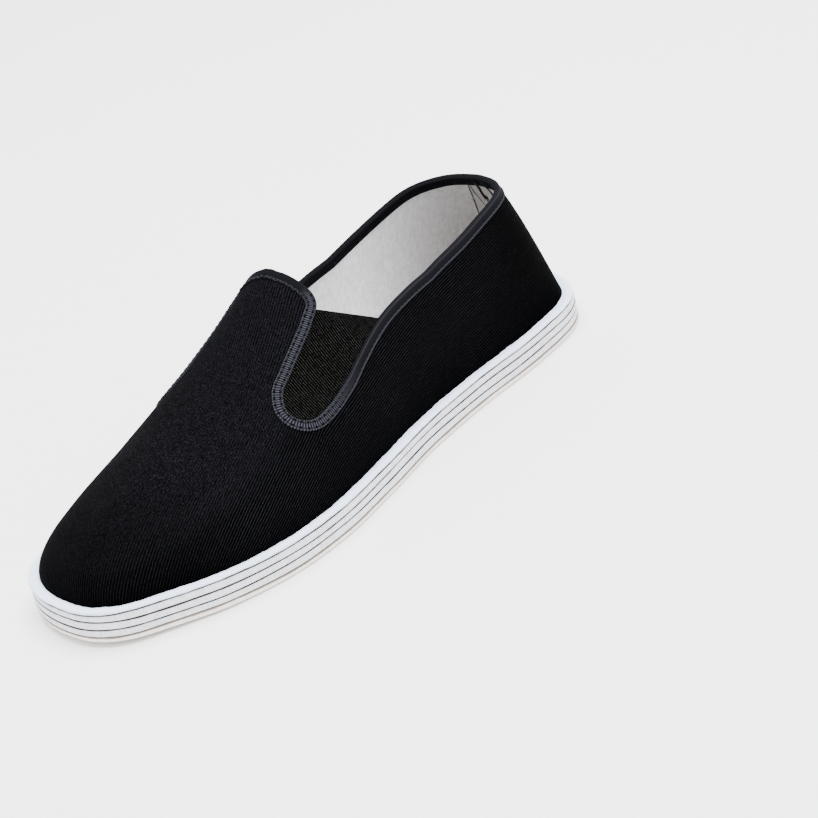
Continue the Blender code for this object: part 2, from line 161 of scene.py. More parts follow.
# Soft troughs (depth below 0) and ridges of the cloth
# side, along and up of the middle, turn from the length of the shoe in degrees,
# half length, half width, depth
CREASES = (
    (OUTER, 0.66, 0.30, 35, 22 * MM, 5.0 * MM, -0.45 * MM),
    (OUTER, 0.71, 0.36, 38, 20 * MM, 5.0 * MM, 0.35 * MM),
    (OUTER, 0.55, 0.16, 8, 30 * MM, 6.0 * MM, -0.40 * MM),
    (OUTER, 0.33, 0.22, -14, 26 * MM, 7.0 * MM, -0.50 * MM),
    (OUTER, 0.25, 0.36, -22, 20 * MM, 6.0 * MM, 0.40 * MM),
    (OUTER, 0.12, 0.25, 70, 15 * MM, 6.0 * MM, -0.40 * MM),
    (INNER, 0.64, 0.28, -30, 22 * MM, 5.0 * MM, -0.45 * MM),
    (INNER, 0.50, 0.18, -6, 28 * MM, 6.0 * MM, -0.45 * MM),
    (INNER, 0.30, 0.25, 15, 26 * MM, 7.0 * MM, -0.50 * MM),
    (INNER, 0.14, 0.30, -65, 15 * MM, 6.0 * MM, 0.40 * MM),
)

LAYER_PITCH = LAYER_THICKNESS + GAP
WELT_BASE = OUTSOLE_THICKNESS + GAP + LAYER_COUNT * LAYER_PITCH
SEAT = WELT_BASE + WELT_SEAT
FEATHER = SEAT + GAP

# Cloth and thread
TWILL_SPACING = 1.13 * MM
TWILL_TURN = np.radians(13)
TWILL_SHELL = 0.8 * MM
LINING_SHELL = 0.85 * MM
TAPE_RIB = 0.9 * MM
ELASTIC_RIB = 1.0 * MM
ELASTIC_TURN = np.radians(-50)
TAPE_STITCH = 2.5 * MM
TAPE_PROUD = 0.55 * MM
STITCH_ROWS = (0.14, 0.76)
CHAIN_ROW = 0.86
CHAIN_RISE = 0.62 * MM
CHAIN_STITCH = 1.5 * MM
CHAIN_THREAD = 0.5 * MM
ELASTIC_ROWS = 130
ELASTIC_COLUMNS = 150
ELASTIC_TUCK = 0.4 * MM
ELASTIC_DROP = 2.2 * MM
LAYER_SQUARENESS = 2.9
LAYER_ROLL = 1.1 * MM
SEAM_WAVE = 0.30 * MM
WELT_RIB = 0.86 * MM
WELT_RELIEF = 0.16 * MM
WELT_STITCH = 4.3 * MM
WELT_PULL = 0.40 * MM
SOLE_PULL = 0.7 * MM
SOLE_BORDER = 7.0 * MM
SOLE_ROW = 5.9 * MM
SOLE_STITCH = 6.5 * MM
SOLE_THREAD = 1.5 * MM
SOLE_HOLE = 1.3 * MM
BLACK_THREAD = 0.38 * MM
CHAIN_LEAN = 0.75
ELASTIC_RELIEF = 0.16 * MM
INSOLE_CUP = 0.5 * MM
LAYER_FILL = 0.8 * GAP
FEATHER_DROP = 0.9 * GAP

# Heel strip: its ends as shares up, its half width on top and what that gains below as
# shares along, and the station whose painted shade it takes
STRIP_THICKNESS = 0.35 * MM
STRIP_ENDS = (0.10, 0.545)
STRIP_HALF = 0.0215
STRIP_FLARE = 0.0125
HEEL_STATION = 0.03

# Length of a stitch as a share of the stretch that it has
TAPE_STITCH_SHARE = 0.80
CHAIN_STITCH_SHARE = 1.15
SOLE_STITCH_SHARE = 0.98

# Fineness of the meshes; an upper's grid is what upper_blocks takes
TWILL_GRID = (190, 50, 120, 12, 44, 40)
LINING_GRID = (120, 34, 72, 8, 28, 26)
LAYER_STATIONS = 421
WELT_STATIONS = 2001
OUTSOLE_STATIONS, OUTSOLE_COLUMNS = 401, 141
INSOLE_STATIONS, INSOLE_COLUMNS = 241, 41
ROW_STATIONS = 801
RIM_STATIONS = 161
STITCH_RINGS, STITCH_AROUND = 7, 6
THREAD_AROUND = 7
WALK_STEP = 0.8 * MM
SHARP_ANGLE = np.radians(50)

# Threads on the lining at the heel: radius, then along and up of the points of each; a
# place past the heel seam, on the outer side, has a share along below 0
HEEL_THREADS = (
    (0.20 * MM, ((0.021, 0.560), (0.024, 0.520), (0.027, 0.480), (0.030, 0.430), (0.033, 0.340),
                 (0.034, 0.220))),
    (0.16 * MM, ((-0.019, 0.570), (-0.024, 0.530), (-0.027, 0.480), (-0.030, 0.430), (-0.033, 0.340),
                 (-0.034, 0.220))),
    (0.13 * MM, ((0.019, 0.555), (0.018, 0.520), (0.015, 0.495), (0.010, 0.463), (0.003, 0.420))),
    (0.5 * MM, ((0.007, 0.560), (0.003, 0.535), (0.003, 0.512), (0.000, 0.488))),
    (0.3 * MM, ((-0.001, 0.505), (-0.005, 0.498), (-0.003, 0.486), (0.002, 0.482))),
    (0.20 * MM, ((-0.010, 0.565), (-0.020, 0.545), (-0.026, 0.530), (-0.028, 0.520))),
    (0.10 * MM, ((0.301, 0.517), (0.297, 0.508), (0.292, 0.504))),
)

# Camera: degrees round the shoe from its inner side towards the toe, degrees over the floor, roll,
# the place that it looks at, its distance from there, and its lens
VIEW_AZIMUTH = np.radians(138.49)
VIEW_ELEVATION = np.radians(27.17)
VIEW_ROLL = np.radians(-15.25)
VIEW_TARGET = Vector((-50.8 * MM, 0.0, -5.6 * MM))
VIEW_DISTANCE = 1331 * MM
VIEW_LENS = 144.93
VIEW_NEAR = 0.05

# Studio
FLOOR_REACH = 4.0
WORLD_STRENGTH = 2.2
LIGHT_PLACE = (-0.1, 0.1, 1.3)
LIGHT_SIZE = 1.2
LIGHT_POWER = 63.0


# Form of the last

def cubic(knots, values, at):
    """Cubic through the knots, with each slope taken from the neighbouring knots."""
    slopes = np.gradient(values, knots)
    at = np.clip(at, knots[0], knots[-1])
    low = np.clip(np.searchsorted(knots, at, side="right") - 1, 0, len(knots) - 2)
    span = knots[low + 1] - knots[low]
    u = (at - knots[low]) / span
    start = (2 * u**3 - 3 * u**2 + 1) * values[low] + (u**3 - 2 * u**2 + u) * span * slopes[low]
    end = (3 * u**2 - 2 * u**3) * values[low + 1] + (u**3 - u**2) * span * slopes[low + 1]
    return start + end


def smooth(rows, column, at):
    """Cubic through one column of a table."""
    knots = np.array([row[0] for row in rows], float)
    return cubic(knots, np.array([row[column] for row in rows], float), at)


def ease(value, start, end):
    """0 before start, 1 after end, and 3 t^2 - 2 t^3 in between."""
    t = np.clip((value - start) / (end - start), 0, 1)
    return t * t * (3 - 2 * t)


def running(steps):
    """Sum of the steps so far, from 0."""
    return np.concatenate(([0], np.cumsum(steps)))


def closed(line):
    """A line with its first item again at the end."""
    return np.concatenate((line, line[:1]))


def round_end(distance, length, power):
    """Rises from 0 at an end to 1 at the given length, like a quarter of an oval."""
    share = np.clip(distance / length, 0, 1)
    return np.maximum(1 - (1 - share) ** power, 0) ** (1 / power)


def raw_outline(side, station):
    """Half width of the sole at a station: the table times a round heel and toe."""
    width = BALL_WIDTH * smooth(OUTLINE, 1 if side == OUTER else 2, station)
    heel = round_end(station * SOLE_LENGTH, HEEL_ROUND, HEEL_ROUND_POWER)
    toe = round_end((1 - station) * SOLE_LENGTH, TOE_ROUND, TOE_ROUND_POWER)
    return width * heel * toe


ALL_STATIONS = np.linspace(0, 1, 2001)
AXIS_Y = (raw_outline(INNER, ALL_STATIONS).max() - raw_outline(OUTER, ALL_STATIONS).max()) / 2


def outline(side, inset, turn):
    """Edge of one side of the sole, heel to toe, at stations (1 - cos turn) / 2.

    The turns run from 0 to pi, and each point is moved inward by the inset along the
    normal there.
    """
    step = 1e-4

    def place(angle):
        """Point of the edge at a turn, with no inset."""
        station = (1 - np.cos(angle)) / 2
        return SOLE_LENGTH * station - HALF_LENGTH, side * raw_outline(side, station)

    x, y = place(turn)
    x_before, y_before = place(np.maximum(turn - step, 0))
    x_after, y_after = place(np.minimum(turn + step, np.pi))
    along_x = x_after - x_before
    along_y = y_after - y_before
    along_x[[0, -1]] = 0
    along_y[[0, -1]] = (side, -side)
    size = np.hypot(along_x, along_y)
    x = x + side * inset * along_y / size
    y = y - side * inset * along_x / size
    y[[0, -1]] = 0
    return x, y + AXIS_Y


def lift(x):
    """Height of the sole's underside: flat, then the square of the share into the toe."""
    share = (x / SOLE_LENGTH + 0.5 - SPRING_START) / (1 - SPRING_START)
    return TOE_SPRING * np.clip(share, 0, 1) ** 2


def feather_table(side):
    """Feather line of one side: shares of its length with the x and y there."""
    x, y = outline(side, WELT_SHOW, np.linspace(0, np.pi, 1601))
    travel = running(np.hypot(np.diff(x), np.diff(y)))
    return travel / travel[-1], x, y


FEATHER_LINES = {side: feather_table(side) for side in (OUTER, INNER)}


def rise_share(up, power):
    """Share of the full height reached at a share of the rise: sin(pi up / 2)^(2 / power)."""
    return np.sin(np.pi * np.clip(up, 0, 1) / 2) ** (2 / power)


HEEL_CREST = HEEL_HEIGHT / rise_share(OPENING["heel seam"][1], FULLNESS[0][2])


def crest_height(x):
    """Height of the crest over the feather line: three heights, each times its column."""
    station = x / SOLE_LENGTH + 0.5
    heel = HEEL_CREST * smooth(CREST, 1, station)
    instep = INSTEP_HEIGHT * smooth(CREST, 2, station)
    return heel + instep + TOE_HEIGHT * smooth(CREST, 3, station)


def surface(along, up, side):
    """Outside of the upper: ribs that are quarters of a superellipse.

    With f the foot of a rib on the feather line and c its crest point, the plan place is
    c + (f - c) cos(pi up / 2)^(2 / m) and the height is h sin(pi up / 2)^(2 / n), sheared
    by the crest's own slope. Past the heel seam, the toe or the crest the surface goes on
    down the other side.
    """
    along, up, side = np.broadcast_arrays(along, up, side)
    over = (along < 0) ^ (along > 1) ^ (up > 1)
    side = np.where(over, -side, side)
    along = np.abs(np.where(along > 1, 2 - along, along))
    up = np.where(up > 1, 2 - up, up)
    foot = []
    for axis in (1, 2):
        outer, inner = (np.interp(along, FEATHER_LINES[half][0], FEATHER_LINES[half][axis])
                        for half in (OUTER, INNER))
        foot.append(np.where(side == OUTER, outer, inner))
    foot_z = FEATHER + lift(foot[0])
    back = HEEL_DOME - HALF_LENGTH
    front = HALF_LENGTH - TOE_DOME
    crest_x = back + (front - back) * along
    crest_y = AXIS_Y - CREST_LEAN * (crest_x - back) / (front - back)
    step = 0.5 * MM
    slope = (crest_height(crest_x + step) - crest_height(crest_x - step)) / (2 * step)
    slope = slope * np.clip((along - 0.3) / 0.2, 0, 1)
    spread = np.cos(np.pi * np.clip(up, 0, 1) / 2) ** (2 / smooth(FULLNESS, 1, along))
    rise = rise_share(up, smooth(FULLNESS, 2, along))
    x = crest_x + (foot[0] - crest_x) * spread
    y = crest_y + (foot[1] - crest_y) * spread
    height = FEATHER + crest_height(crest_x) - foot_z - slope * (crest_x - foot[0])
    z = foot_z + height * rise + slope * (x - foot[0])
    return np.stack([x, y, z], -1)


def frame_at(along, up, side):
    """Point, both surface directions per unit share, and outward normal."""
    step = 0.002
    at_toe = along > 1 - step
    low_up = np.where(at_toe, np.minimum(up, 1 - step), up)
    high_up = np.where(at_toe, np.minimum(up + step, 1), up + step)
    forward = (surface(along + step, low_up, side) - surface(along - step, low_up, side)) / (2 * step)
    upward = (surface(along, high_up, side) - surface(along, up - step, side)) / (2 * step)
    normal = np.cross(forward, upward) * np.asarray(side)[..., None] * -1
    normal /= np.linalg.norm(normal, axis=-1, keepdims=True)
    return surface(along, up, side), forward, upward, normal


def shares_of(target, forward, upward):
    """Changes of the two shares that move a surface point by a small vector."""
    ff = (forward * forward).sum(-1)
    uu = (upward * upward).sum(-1)
    fu = (forward * upward).sum(-1)
    ft = (forward * target).sum(-1)
    ut = (upward * target).sum(-1)
    size = ff * uu - fu * fu
    return (ft * uu - ut * fu) / size, (ut * ff - ft * fu) / size


def opening_path(first, last, count):
    """Evenly spaced shares (along, up) on the opening's edge between two named places.

    A share along counts EDGE_WEIGHT times as much as a share up, since it is longer.
    """
    names = list(OPENING)
    along, up = np.array(list(OPENING.values())).T
    along = np.concatenate(([-along[1]], along))
    up = np.concatenate(([up[1]], up))
    travel = running(np.hypot(np.diff(along) * EDGE_WEIGHT, np.diff(up)))
    at = np.linspace(travel[names.index(first) + 1], travel[names.index(last) + 1], count)
    return cubic(travel, along, at), cubic(travel, up, at)


# Mesh tools

def unit(vectors):
    """Vectors at length 1."""
    return vectors / np.maximum(np.linalg.norm(vectors, axis=-1, keepdims=True), 1e-12)


def weld(points):
    """Points that coincide to a micrometre made one: their places and each one's number."""
    keys = np.round(points / (0.001 * MM)).astype(np.int64)
    _, first, index = np.unique(keys, axis=0, return_index=True, return_inverse=True)
    return points[first], index.reshape(-1)


def grid_quads(rows, columns, first=0):
    """Quads of a grid of points stored row by row."""
    low = np.arange(rows - 1)[:, None] * columns + np.arange(columns - 1)[None, :] + first
    return np.stack([low, low + 1, low + columns + 1, low + columns], -1).reshape(-1, 4)


def tube_quads(rows, around):
    """Quads between closed rings of points stored one after another."""
    row = np.arange(rows - 1)[:, None] * around
    step = np.arange(around)[None, :]
    beside = (step + 1) % around
    over = row + around
    return np.stack([row + step, row + beside, over + beside, over + step], -1).reshape(-1, 4)


def flat_of(first, second):
    """Flat coordinates of a grid from a value for each row and one for each column."""
    return np.stack(np.broadcast_arrays(first[:, None], second[None, :]), -1).reshape(-1, 2)


def travel_of(points):
    """Distance run along a line of points, from 0 at the first."""
    return running(np.linalg.norm(np.diff(points, axis=0), axis=-1))


def read_line(line, travel, at):
    """Points of a line at distances run along it."""
    return np.stack([np.interp(at, travel, line[:, axis]) for axis in range(3)], -1)


def make_piece(name, points, quads, uv, finish, slot, stands_for=(), masks=None):
    """Closed mesh in place: welded points, folded quads made triangles or dropped.

    uv holds the cloth's own coordinates in metres, a pair for each point, and masks holds
    named values that a finish reads, repeated until each point has one.
    """
    place, index = weld(points)
    ring = index[quads]
    same = ring == np.roll(ring, -1, axis=1)
    keep = (~same).sum(1) >= 3
    corners = ring[keep][~same[keep]]
    source = quads[keep][~same[keep]]
    counts = (~same[keep]).sum(1)
    mesh = bpy.data.meshes.new(name)
    mesh.vertices.add(len(place))
    mesh.vertices.foreach_set("co", place.astype(np.float32).ravel())
    mesh.loops.add(len(corners))
    mesh.loops.foreach_set("vertex_index", corners.astype(np.int32))
    mesh.polygons.add(len(counts))
    mesh.polygons.foreach_set("loop_start", (np.cumsum(counts) - counts).astype(np.int32))
    mesh.update(calc_edges=True)
    layer = mesh.uv_layers.new(name="cloth")
    layer.data.foreach_set("uv", uv[source].astype(np.float32).ravel())
    for mask, values in (masks or {}).items():
        attribute = mesh.attributes.new(mask, "FLOAT", "CORNER")
        values = np.resize(values, len(points))[source]
        attribute.data.foreach_set("value", values.astype(np.float32))
    mesh.shade_smooth()
    mesh.set_sharp_from_angle(angle=SHARP_ANGLE)
    mesh.materials.append(finish)
    shoe_piece = bpy.data.objects.new(name, mesh)
    bpy.context.scene.collection.objects.link(shoe_piece)
    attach(shoe_piece, "root")
    if stands_for:
        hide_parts(*stands_for)


def rim_quads(points, quads, count):
    """Quads that join the open border of a sheet to its other face, stored count later."""
    _, index = weld(points)
    ends = np.stack([quads, np.roll(quads, -1, axis=1)], -1).reshape(-1, 2)
    welded = index[ends]
    size = len(points)
    key = welded[:, 0] * size + welded[:, 1]
    back = welded[:, 1] * size + welded[:, 0]
    border = ends[~np.isin(key, back) & (welded[:, 0] != welded[:, 1])]
    a, b = border[:, 0], border[:, 1]
    return np.stack([b, a, a + count, b + count], -1)


def mesh_normals(points, quads):
    """Normals of the quads added up at each point, the coinciding points together."""
    place, index = weld(points)
    ring = index[quads]
    facing = np.cross(place[ring[:, 2]] - place[ring[:, 0]], place[ring[:, 3]] - place[ring[:, 1]])
    total = np.zeros_like(place)
    for corner in range(4):
        np.add.at(total, ring[:, corner], facing)
    return unit(total)[index]


def shell(outside, inside, quads, uv):
    """Points, quads and flat coordinates of a closed shell from its outer and inner faces."""
    count = len(outside)
    faces = np.concatenate((quads, quads[:, ::-1] + count, rim_quads(outside, quads, count)))
    return np.concatenate((outside, inside)), faces, np.concatenate((uv, uv))


def make_stitches(places, directions, normals, lengths, width, height, sink=0.35):
    """Thread stitches as long beads: rings of points at places along each stitch.

    With t from -1 to 1 the ring's radius share is (1 - t^4)^(1/2), the thread is sunk by
    the sink share of its height and dips by t^4 towards its ends, which close to points.
    The flat coordinates are t and the turn round the thread.
    """
    across = unit(np.cross(normals, directions))
    t = np.linspace(-1, 1, STITCH_RINGS)[None, :, None, None]
    turn = np.arange(STITCH_AROUND)[None, None, :, None] * (2 * np.pi / STITCH_AROUND)
    share = np.sqrt(np.maximum(1 - t**4, 0))
    rise = height * (share * (np.sin(turn) + 1) / 2 - sink - 0.3 * t**4)
    points = (places[:, None, None] + directions[:, None, None] * t * lengths[:, None, None, None] / 2
              + across[:, None, None] * np.cos(turn) * share * width / 2
              + normals[:, None, None] * rise)
    starts = np.arange(len(places)) * STITCH_RINGS * STITCH_AROUND
    quads = tube_quads(STITCH_RINGS, STITCH_AROUND)[None] + starts[:, None, None]
    uv = np.concatenate(np.broadcast_arrays(t, turn), -1)
    uv = np.broadcast_to(uv, (len(places), *uv.shape[1:])).reshape(-1, 2)
    return points.reshape(-1, 3), quads.reshape(-1, 4)[:, ::-1], uv


# Flat pattern of the upper's cloth

PATTERN_ALONG = np.linspace(0, 1, 401)
PATTERN_UP = np.linspace(0, 1, 201)
PATTERN_SEAM = 240
QUARTER_BEND = 0.3


def pattern_tables(side):
    """The cloth laid flat, as X along the shoe and Y down from the crest.

    Over the vamp X is the place's own x and Y the girth from the crest, and towards the
    toe they turn into a fan about the crest's points. Behind the seam column the quarter
    is unrolled backward, X by its horizontal run and Y by its rise, and bent up by
    QUARTER_BEND times the square of the run.
    """
    place = surface(PATTERN_ALONG[:, None], PATTERN_UP[None, :], side)
    climb = np.diff(place, axis=1)
    end = np.zeros((len(PATTERN_ALONG), 1))

    def from_crest(steps):
        """Sum of the steps down from the crest, for each row of the table."""
        return np.concatenate((np.cumsum(steps[:, ::-1], axis=1)[:, ::-1], end), axis=1)

    girth = from_crest(np.hypot(climb[..., 1], climb[..., 2]))
    rib = from_crest(np.linalg.norm(climb, axis=-1))
    reach = place[:, :1] - place[:, -1:]
    turn = np.arctan2(side * reach[..., 1], reach[..., 0])
    fan = ease(PATTERN_ALONG, 0.6, 0.9)[:, None]
    x = place[..., 0] * (1 - fan) + (place[:, -1:, 0] + rib * np.cos(turn)) * fan
    y = girth * (1 - fan) + rib * np.sin(turn) * fan
    steps = np.diff(place, axis=0)
    run = np.cumsum(np.hypot(steps[..., 0], steps[..., 1]), axis=0)
    run = np.concatenate((np.zeros((1, len(PATTERN_UP))), run))
    back = run[PATTERN_SEAM] - run
    rise = rib[:, :1] - rib
    quarter_x = x[PATTERN_SEAM] - back
    quarter_y = y[PATTERN_SEAM] + rise[PATTERN_SEAM] - rise - QUARTER_BEND * back**2
    behind = (PATTERN_ALONG < PATTERN_ALONG[PATTERN_SEAM])[:, None]
    quarter = (np.where(behind, quarter_x, x), side * np.where(behind, quarter_y, y))
    return quarter, (x, side * y)


PATTERNS = {side: pattern_tables(side) for side in (OUTER, INNER)}


def cloth_place(along, up, side, in_quarter):
    """Place on the flat pattern, read between the table's rows and columns."""
    along = np.clip(np.asarray(along, float), 0, 1) * (len(PATTERN_ALONG) - 1)
    up = np.clip(np.asarray(up, float), 0, 1) * (len(PATTERN_UP) - 1)
    row = np.minimum(along.astype(int), len(PATTERN_ALONG) - 2)
    column = np.minimum(up.astype(int), len(PATTERN_UP) - 2)
    a = along - row
    b = up - column
    values = []
    for table in PATTERNS[side][0 if in_quarter else 1]:
        low = table[row, column] * (1 - b) + table[row, column + 1] * b
        high = table[row + 1, column] * (1 - b) + table[row + 1, column + 1] * b
        values.append(low * (1 - a) + high * a)
    return np.stack(values, -1)


def crease_height(place):
    """Sum of the creases: depth times exp(-(a / half length)^2 - (b / half width)^2)."""
    height = np.zeros(place.shape[:-1])
    for crease_side, along, up, turn, half_length, half_width, depth in CREASES:
        middle = cloth_place(along, up, crease_side, along < 0.6)
        offset = place - middle
        turn = np.radians(turn) * crease_side
        a = offset[..., 0] * np.cos(turn) + offset[..., 1] * np.sin(turn)
        b = offset[..., 1] * np.cos(turn) - offset[..., 0] * np.sin(turn)
        height += depth * np.exp(-((a / half_length) ** 2) - (b / half_width) ** 2)
    return height


# Upper and lining

def upper_blocks(quarter_columns, rows, vamp_columns, turn_rows, tongue_columns, tongue_rows):
    """Three grids of shares that cover one side of the upper round its slot.

    The quarter runs from the heel seam to the slot's foot, the lower vamp from there
    to the toe, and the tongue block from the slot's front edge up to the crest.
    """
    level = np.linspace(0, 1, rows + 1)
    columns = np.linspace(0, 1, vamp_columns + 1)
    along, up = opening_path("heel seam", "slot foot", quarter_columns + 1)
    quarter = (np.broadcast_to(along[None, :], (len(level), len(along))), level[:, None] * up[None, :])

    turn_along, turn_up = opening_path("slot foot", "front foot", turn_rows + 1)
    left = np.concatenate((np.full(rows, turn_along[0]), turn_along))
    height = np.concatenate((level[:-1] * turn_up[0], turn_up))
    vamp_along = left[:, None] + (1 - left[:, None]) * columns[None, :]
    vamp = (vamp_along, np.broadcast_to(height[:, None], vamp_along.shape))

    foot_along, foot_up = opening_path("tongue corner", "front foot", tongue_columns + 1)
    base_along = np.concatenate((foot_along[:-1], vamp_along[-1]))
    base_up = np.concatenate((foot_up[:-1], np.full(len(columns), turn_up[-1])))
    side_along, side_up = opening_path("tongue corner", "crest", tongue_rows + 1)
    share = (base_along - base_along[0]) / (1 - base_along[0])
    climb = (side_up - side_up[0]) / (1 - side_up[0])
    tongue_along = side_along[:, None] + (1 - side_along[:, None]) * share[None, :]
    tongue_up = base_up[None, :] + (1 - base_up[None, :]) * climb[:, None]
    return quarter, vamp, (tongue_along, tongue_up)


def unfold(place, along, up):
    """Inner half at the toe: keeps each rib beside the crest line and beside the toe's rib.

    The last ribs leave the crest at a flat angle and would cross the line of those two.
    A place stays TOE_FAN (1 - along) (1 - up) away from that line.
    """
    crest = surface(np.linspace(0.9, 1, 20), 1, INNER)
    toe = surface(1, np.linspace(1, 0.85, 40), INNER)
    line = np.concatenate((crest, toe[1:]))
    limit = np.interp(place[..., 0], line[:, 0], line[:, 1]) - TOE_FAN * (1 - along) * (1 - up)
    near = (along > 0.9) & (up > 0.9)
    place[..., 1] = np.where(near, np.minimum(place[..., 1], limit), place[..., 1])
    return place


def upper_skin(*counts):
    """Outside of the upper on a fine grid: points, normals, quads and flat pattern.

    The creases move each point along its normal, and the feather edge comes down to the
    welt's seat.
    """
    points, quads, uv, start = [], [], [], 0
    for side in (OUTER, INNER):
        for number, (along, up) in enumerate(upper_blocks(*counts)):
            place = surface(along, up, np.full(along.shape, side))
            if side == INNER:
                place = unfold(place, along, up)
            ring = grid_quads(*along.shape, first=start)
            quads.append(ring if side == INNER else ring[:, ::-1])
            points.append(place.reshape(-1, 3))
            uv.append(cloth_place(along, up, side, number == 0).reshape(-1, 2))
            start += along.size
    points, quads, uv = (np.concatenate(part) for part in (points, quads, uv))
    normals = mesh_normals(points, quads)
    at_feather = points[:, 2] < FEATHER + lift(points[:, 0]) + 0.01 * MM
    points = points + normals * (crease_height(uv) * ~at_feather)[:, None]
    points[at_feather, 2] -= FEATHER_DROP
    return points, normals, quads, uv


def layer_inside(points, normals, depth):
    """The skin moved inward by a depth, with the feather edge kept level."""
    inside = points - normals * depth
    at_feather = points[:, 2] < SEAT + GAP / 2 + lift(points[:, 0])
    inside[at_feather, 2] = points[at_feather, 2]
    return inside


def twill_masks(points, normals):
    """Masks of the twill: how far it faces up, its painted light and shade, and the millimetres to the back
    seam.

    The painted light is fuller where the cloth faces up and higher over the sole, painted
    shade darkens it low over the sole, and it is less at the toe and at the heel.
    """
    top = np.clip(normals[:, 2], 0, 1)
    over_sole = points[:, 2] - FEATHER - lift(points[:, 0])
    # Painted light and shade on the twill's ribs: brighter facing up and higher up, darker near the sole
    painted_light = (0.66 + 0.16 * ease(top, 0.05, 0.55)) * (0.45 + 0.55 * ease(over_sole, -3 * MM, 24 * MM))
    station = points[:, 0] / SOLE_LENGTH
    painted_light = painted_light * (1 - 0.4 * ease(station, 0.26, 0.42)) * (1 - 0.62 * ease(-station, 0.20, 0.42))
    low_front = ease(station, 0.05, 0.16) * (1 - ease(over_sole, 4 * MM, 20 * MM))
    painted_light = painted_light * (1 - 0.22 * ease(top, 0.7, 0.95)) * (1 + 0.5 * low_front)
    seam = np.where(station < -0.3, np.abs(points[:, 1] - AXIS_Y), BALL_WIDTH) / MM
    return {"top": top, "painted_light": painted_light, "seam": seam}


def make_upper(finish):
    """Outer twill of the upper: the skin and the same skin TWILL_SHELL further in."""
    points, normals, quads, uv = upper_skin(*TWILL_GRID)
    body = shell(points, layer_inside(points, normals, TWILL_SHELL), quads, uv)
    make_piece("upper_twill", *body, finish, "black_twill", ["upper"], masks=twill_masks(points, normals))


def make_lining(finish):
    """Cotton lining: from just inside the twill to the wall's full depth."""
    points, normals, quads, uv = upper_skin(*LINING_GRID)
    near = layer_inside(points, normals, WALL - LINING_SHELL)
    body = shell(near, layer_inside(points, normals, WALL), quads, uv)
    # The station mask carries the lining's painted shade towards the heel
    masks = {"station": points[:, 0] / SOLE_LENGTH + 0.5}
    make_piece("upper_lining", *body, finish, "grey_cotton", masks=masks)


def on_lining(along, up, depth):
    """Places and normals on the lining near the heel, a depth further in than the wall."""
    place, _, _, normal = frame_at(along, up, np.full(np.shape(along), INNER))
    return place - normal * (WALL + np.asarray(depth)[..., None]), -normal


def make_heel_strip(finish):
    """Cotton strip over the back seam inside: its half width grows from top to foot.

    It is a thin shell on the lining that thins out towards its sides with the fourth power
    of the share across, and it takes the lining's painted shade at HEEL_STATION.
    """
    up = np.linspace(*STRIP_ENDS, 60)
    across = np.linspace(-1, 1, 33)
    half = STRIP_HALF + STRIP_FLARE * ease(0.58 - up, 0, 0.3)
    along = half[:, None] * across[None, :]
    level = np.broadcast_to(up[:, None], along.shape)
    crown = STRIP_THICKNESS * (0.4 + 0.6 * (1 - across**4))
    under, _ = on_lining(along, level, -0.2 * MM)
    over, _ = on_lining(along, level, crown[None, :])
    uv = cloth_place(np.abs(along), level, INNER, True).reshape(-1, 2)
    body = shell(over.reshape(-1, 3), under.reshape(-1, 3), grid_quads(*along.shape), uv)
    make_piece("heel_strip", *body, finish, "grey_cotton", masks={"station": HEEL_STATION})


def make_heel_threads(finish):
    """Black threads on the lining at the heel: round tubes through given points."""
    parts = []
    for radius, spots in HEEL_THREADS:
        spots = np.array(spots)
        knots = np.arange(len(spots), dtype=float)
        at = np.linspace(0, knots[-1], 12 * len(spots))
        along, up = cubic(knots, spots[:, 0], at), cubic(knots, spots[:, 1], at)
        place, normal = on_lining(along, up, STRIP_THICKNESS + 0.5 * radius)
        direction = unit(np.gradient(place, axis=0))
        across = np.cross(normal, direction)
        turn = np.arange(THREAD_AROUND) * (2 * np.pi / THREAD_AROUND)
        share = np.sqrt(1 - (2 * at / knots[-1] - 1) ** 6)[:, None, None]
        ring = across[:, None] * np.cos(turn)[:, None] + normal[:, None] * np.sin(turn)[:, None]
        points = place[:, None] + radius * share * ring
        quads = tube_quads(len(at), THREAD_AROUND)[:, ::-1]
        parts.append((points.reshape(-1, 3), quads, flat_of(at / knots[-1], turn)))
    make_piece("heel_threads", *join_parts(parts), finish, "black_tape")


# Binding tape

TAPE_PARTS = (
    ("heel seam", "slot foot", 260),
    ("slot foot", "front foot", 40),
    ("front foot", "tongue corner", 90),
    ("tongue corner", "crest", 100),
)

# Outside of the tape: distance from the edge as a share of the leg, and how far it stands
# over the cloth as a share of TAPE_PROUD
TAPE_RELIEF = (
    (0.02, 0.99),
    (0.10, 0.92),
    (0.20, 0.84),
    (0.34, 0.82),
    (0.50, 0.84),
    (0.64, 0.82),
    (0.76, 0.80),
    (0.83, 0.86),
    (0.89, 1.02),
    (0.95, 1.02),
    (0.985, 0.75),
    (1.00, 0.03),
)


def tape_path():
    """Shares and side of each point round the whole opening, as one closed loop."""
    half = [np.array(opening_path(first, last, count + 1))[:, :-1] for first, last, count in TAPE_PARTS]
    half = np.concatenate(half + [opening_path("crest", "crest", 1)], axis=1)
    along, up = np.concatenate((half, half[:, -2:0:-1]), axis=1)
    sides = np.repeat((OUTER, INNER), (half.shape[1], half.shape[1] - 2))
    return along, up, sides


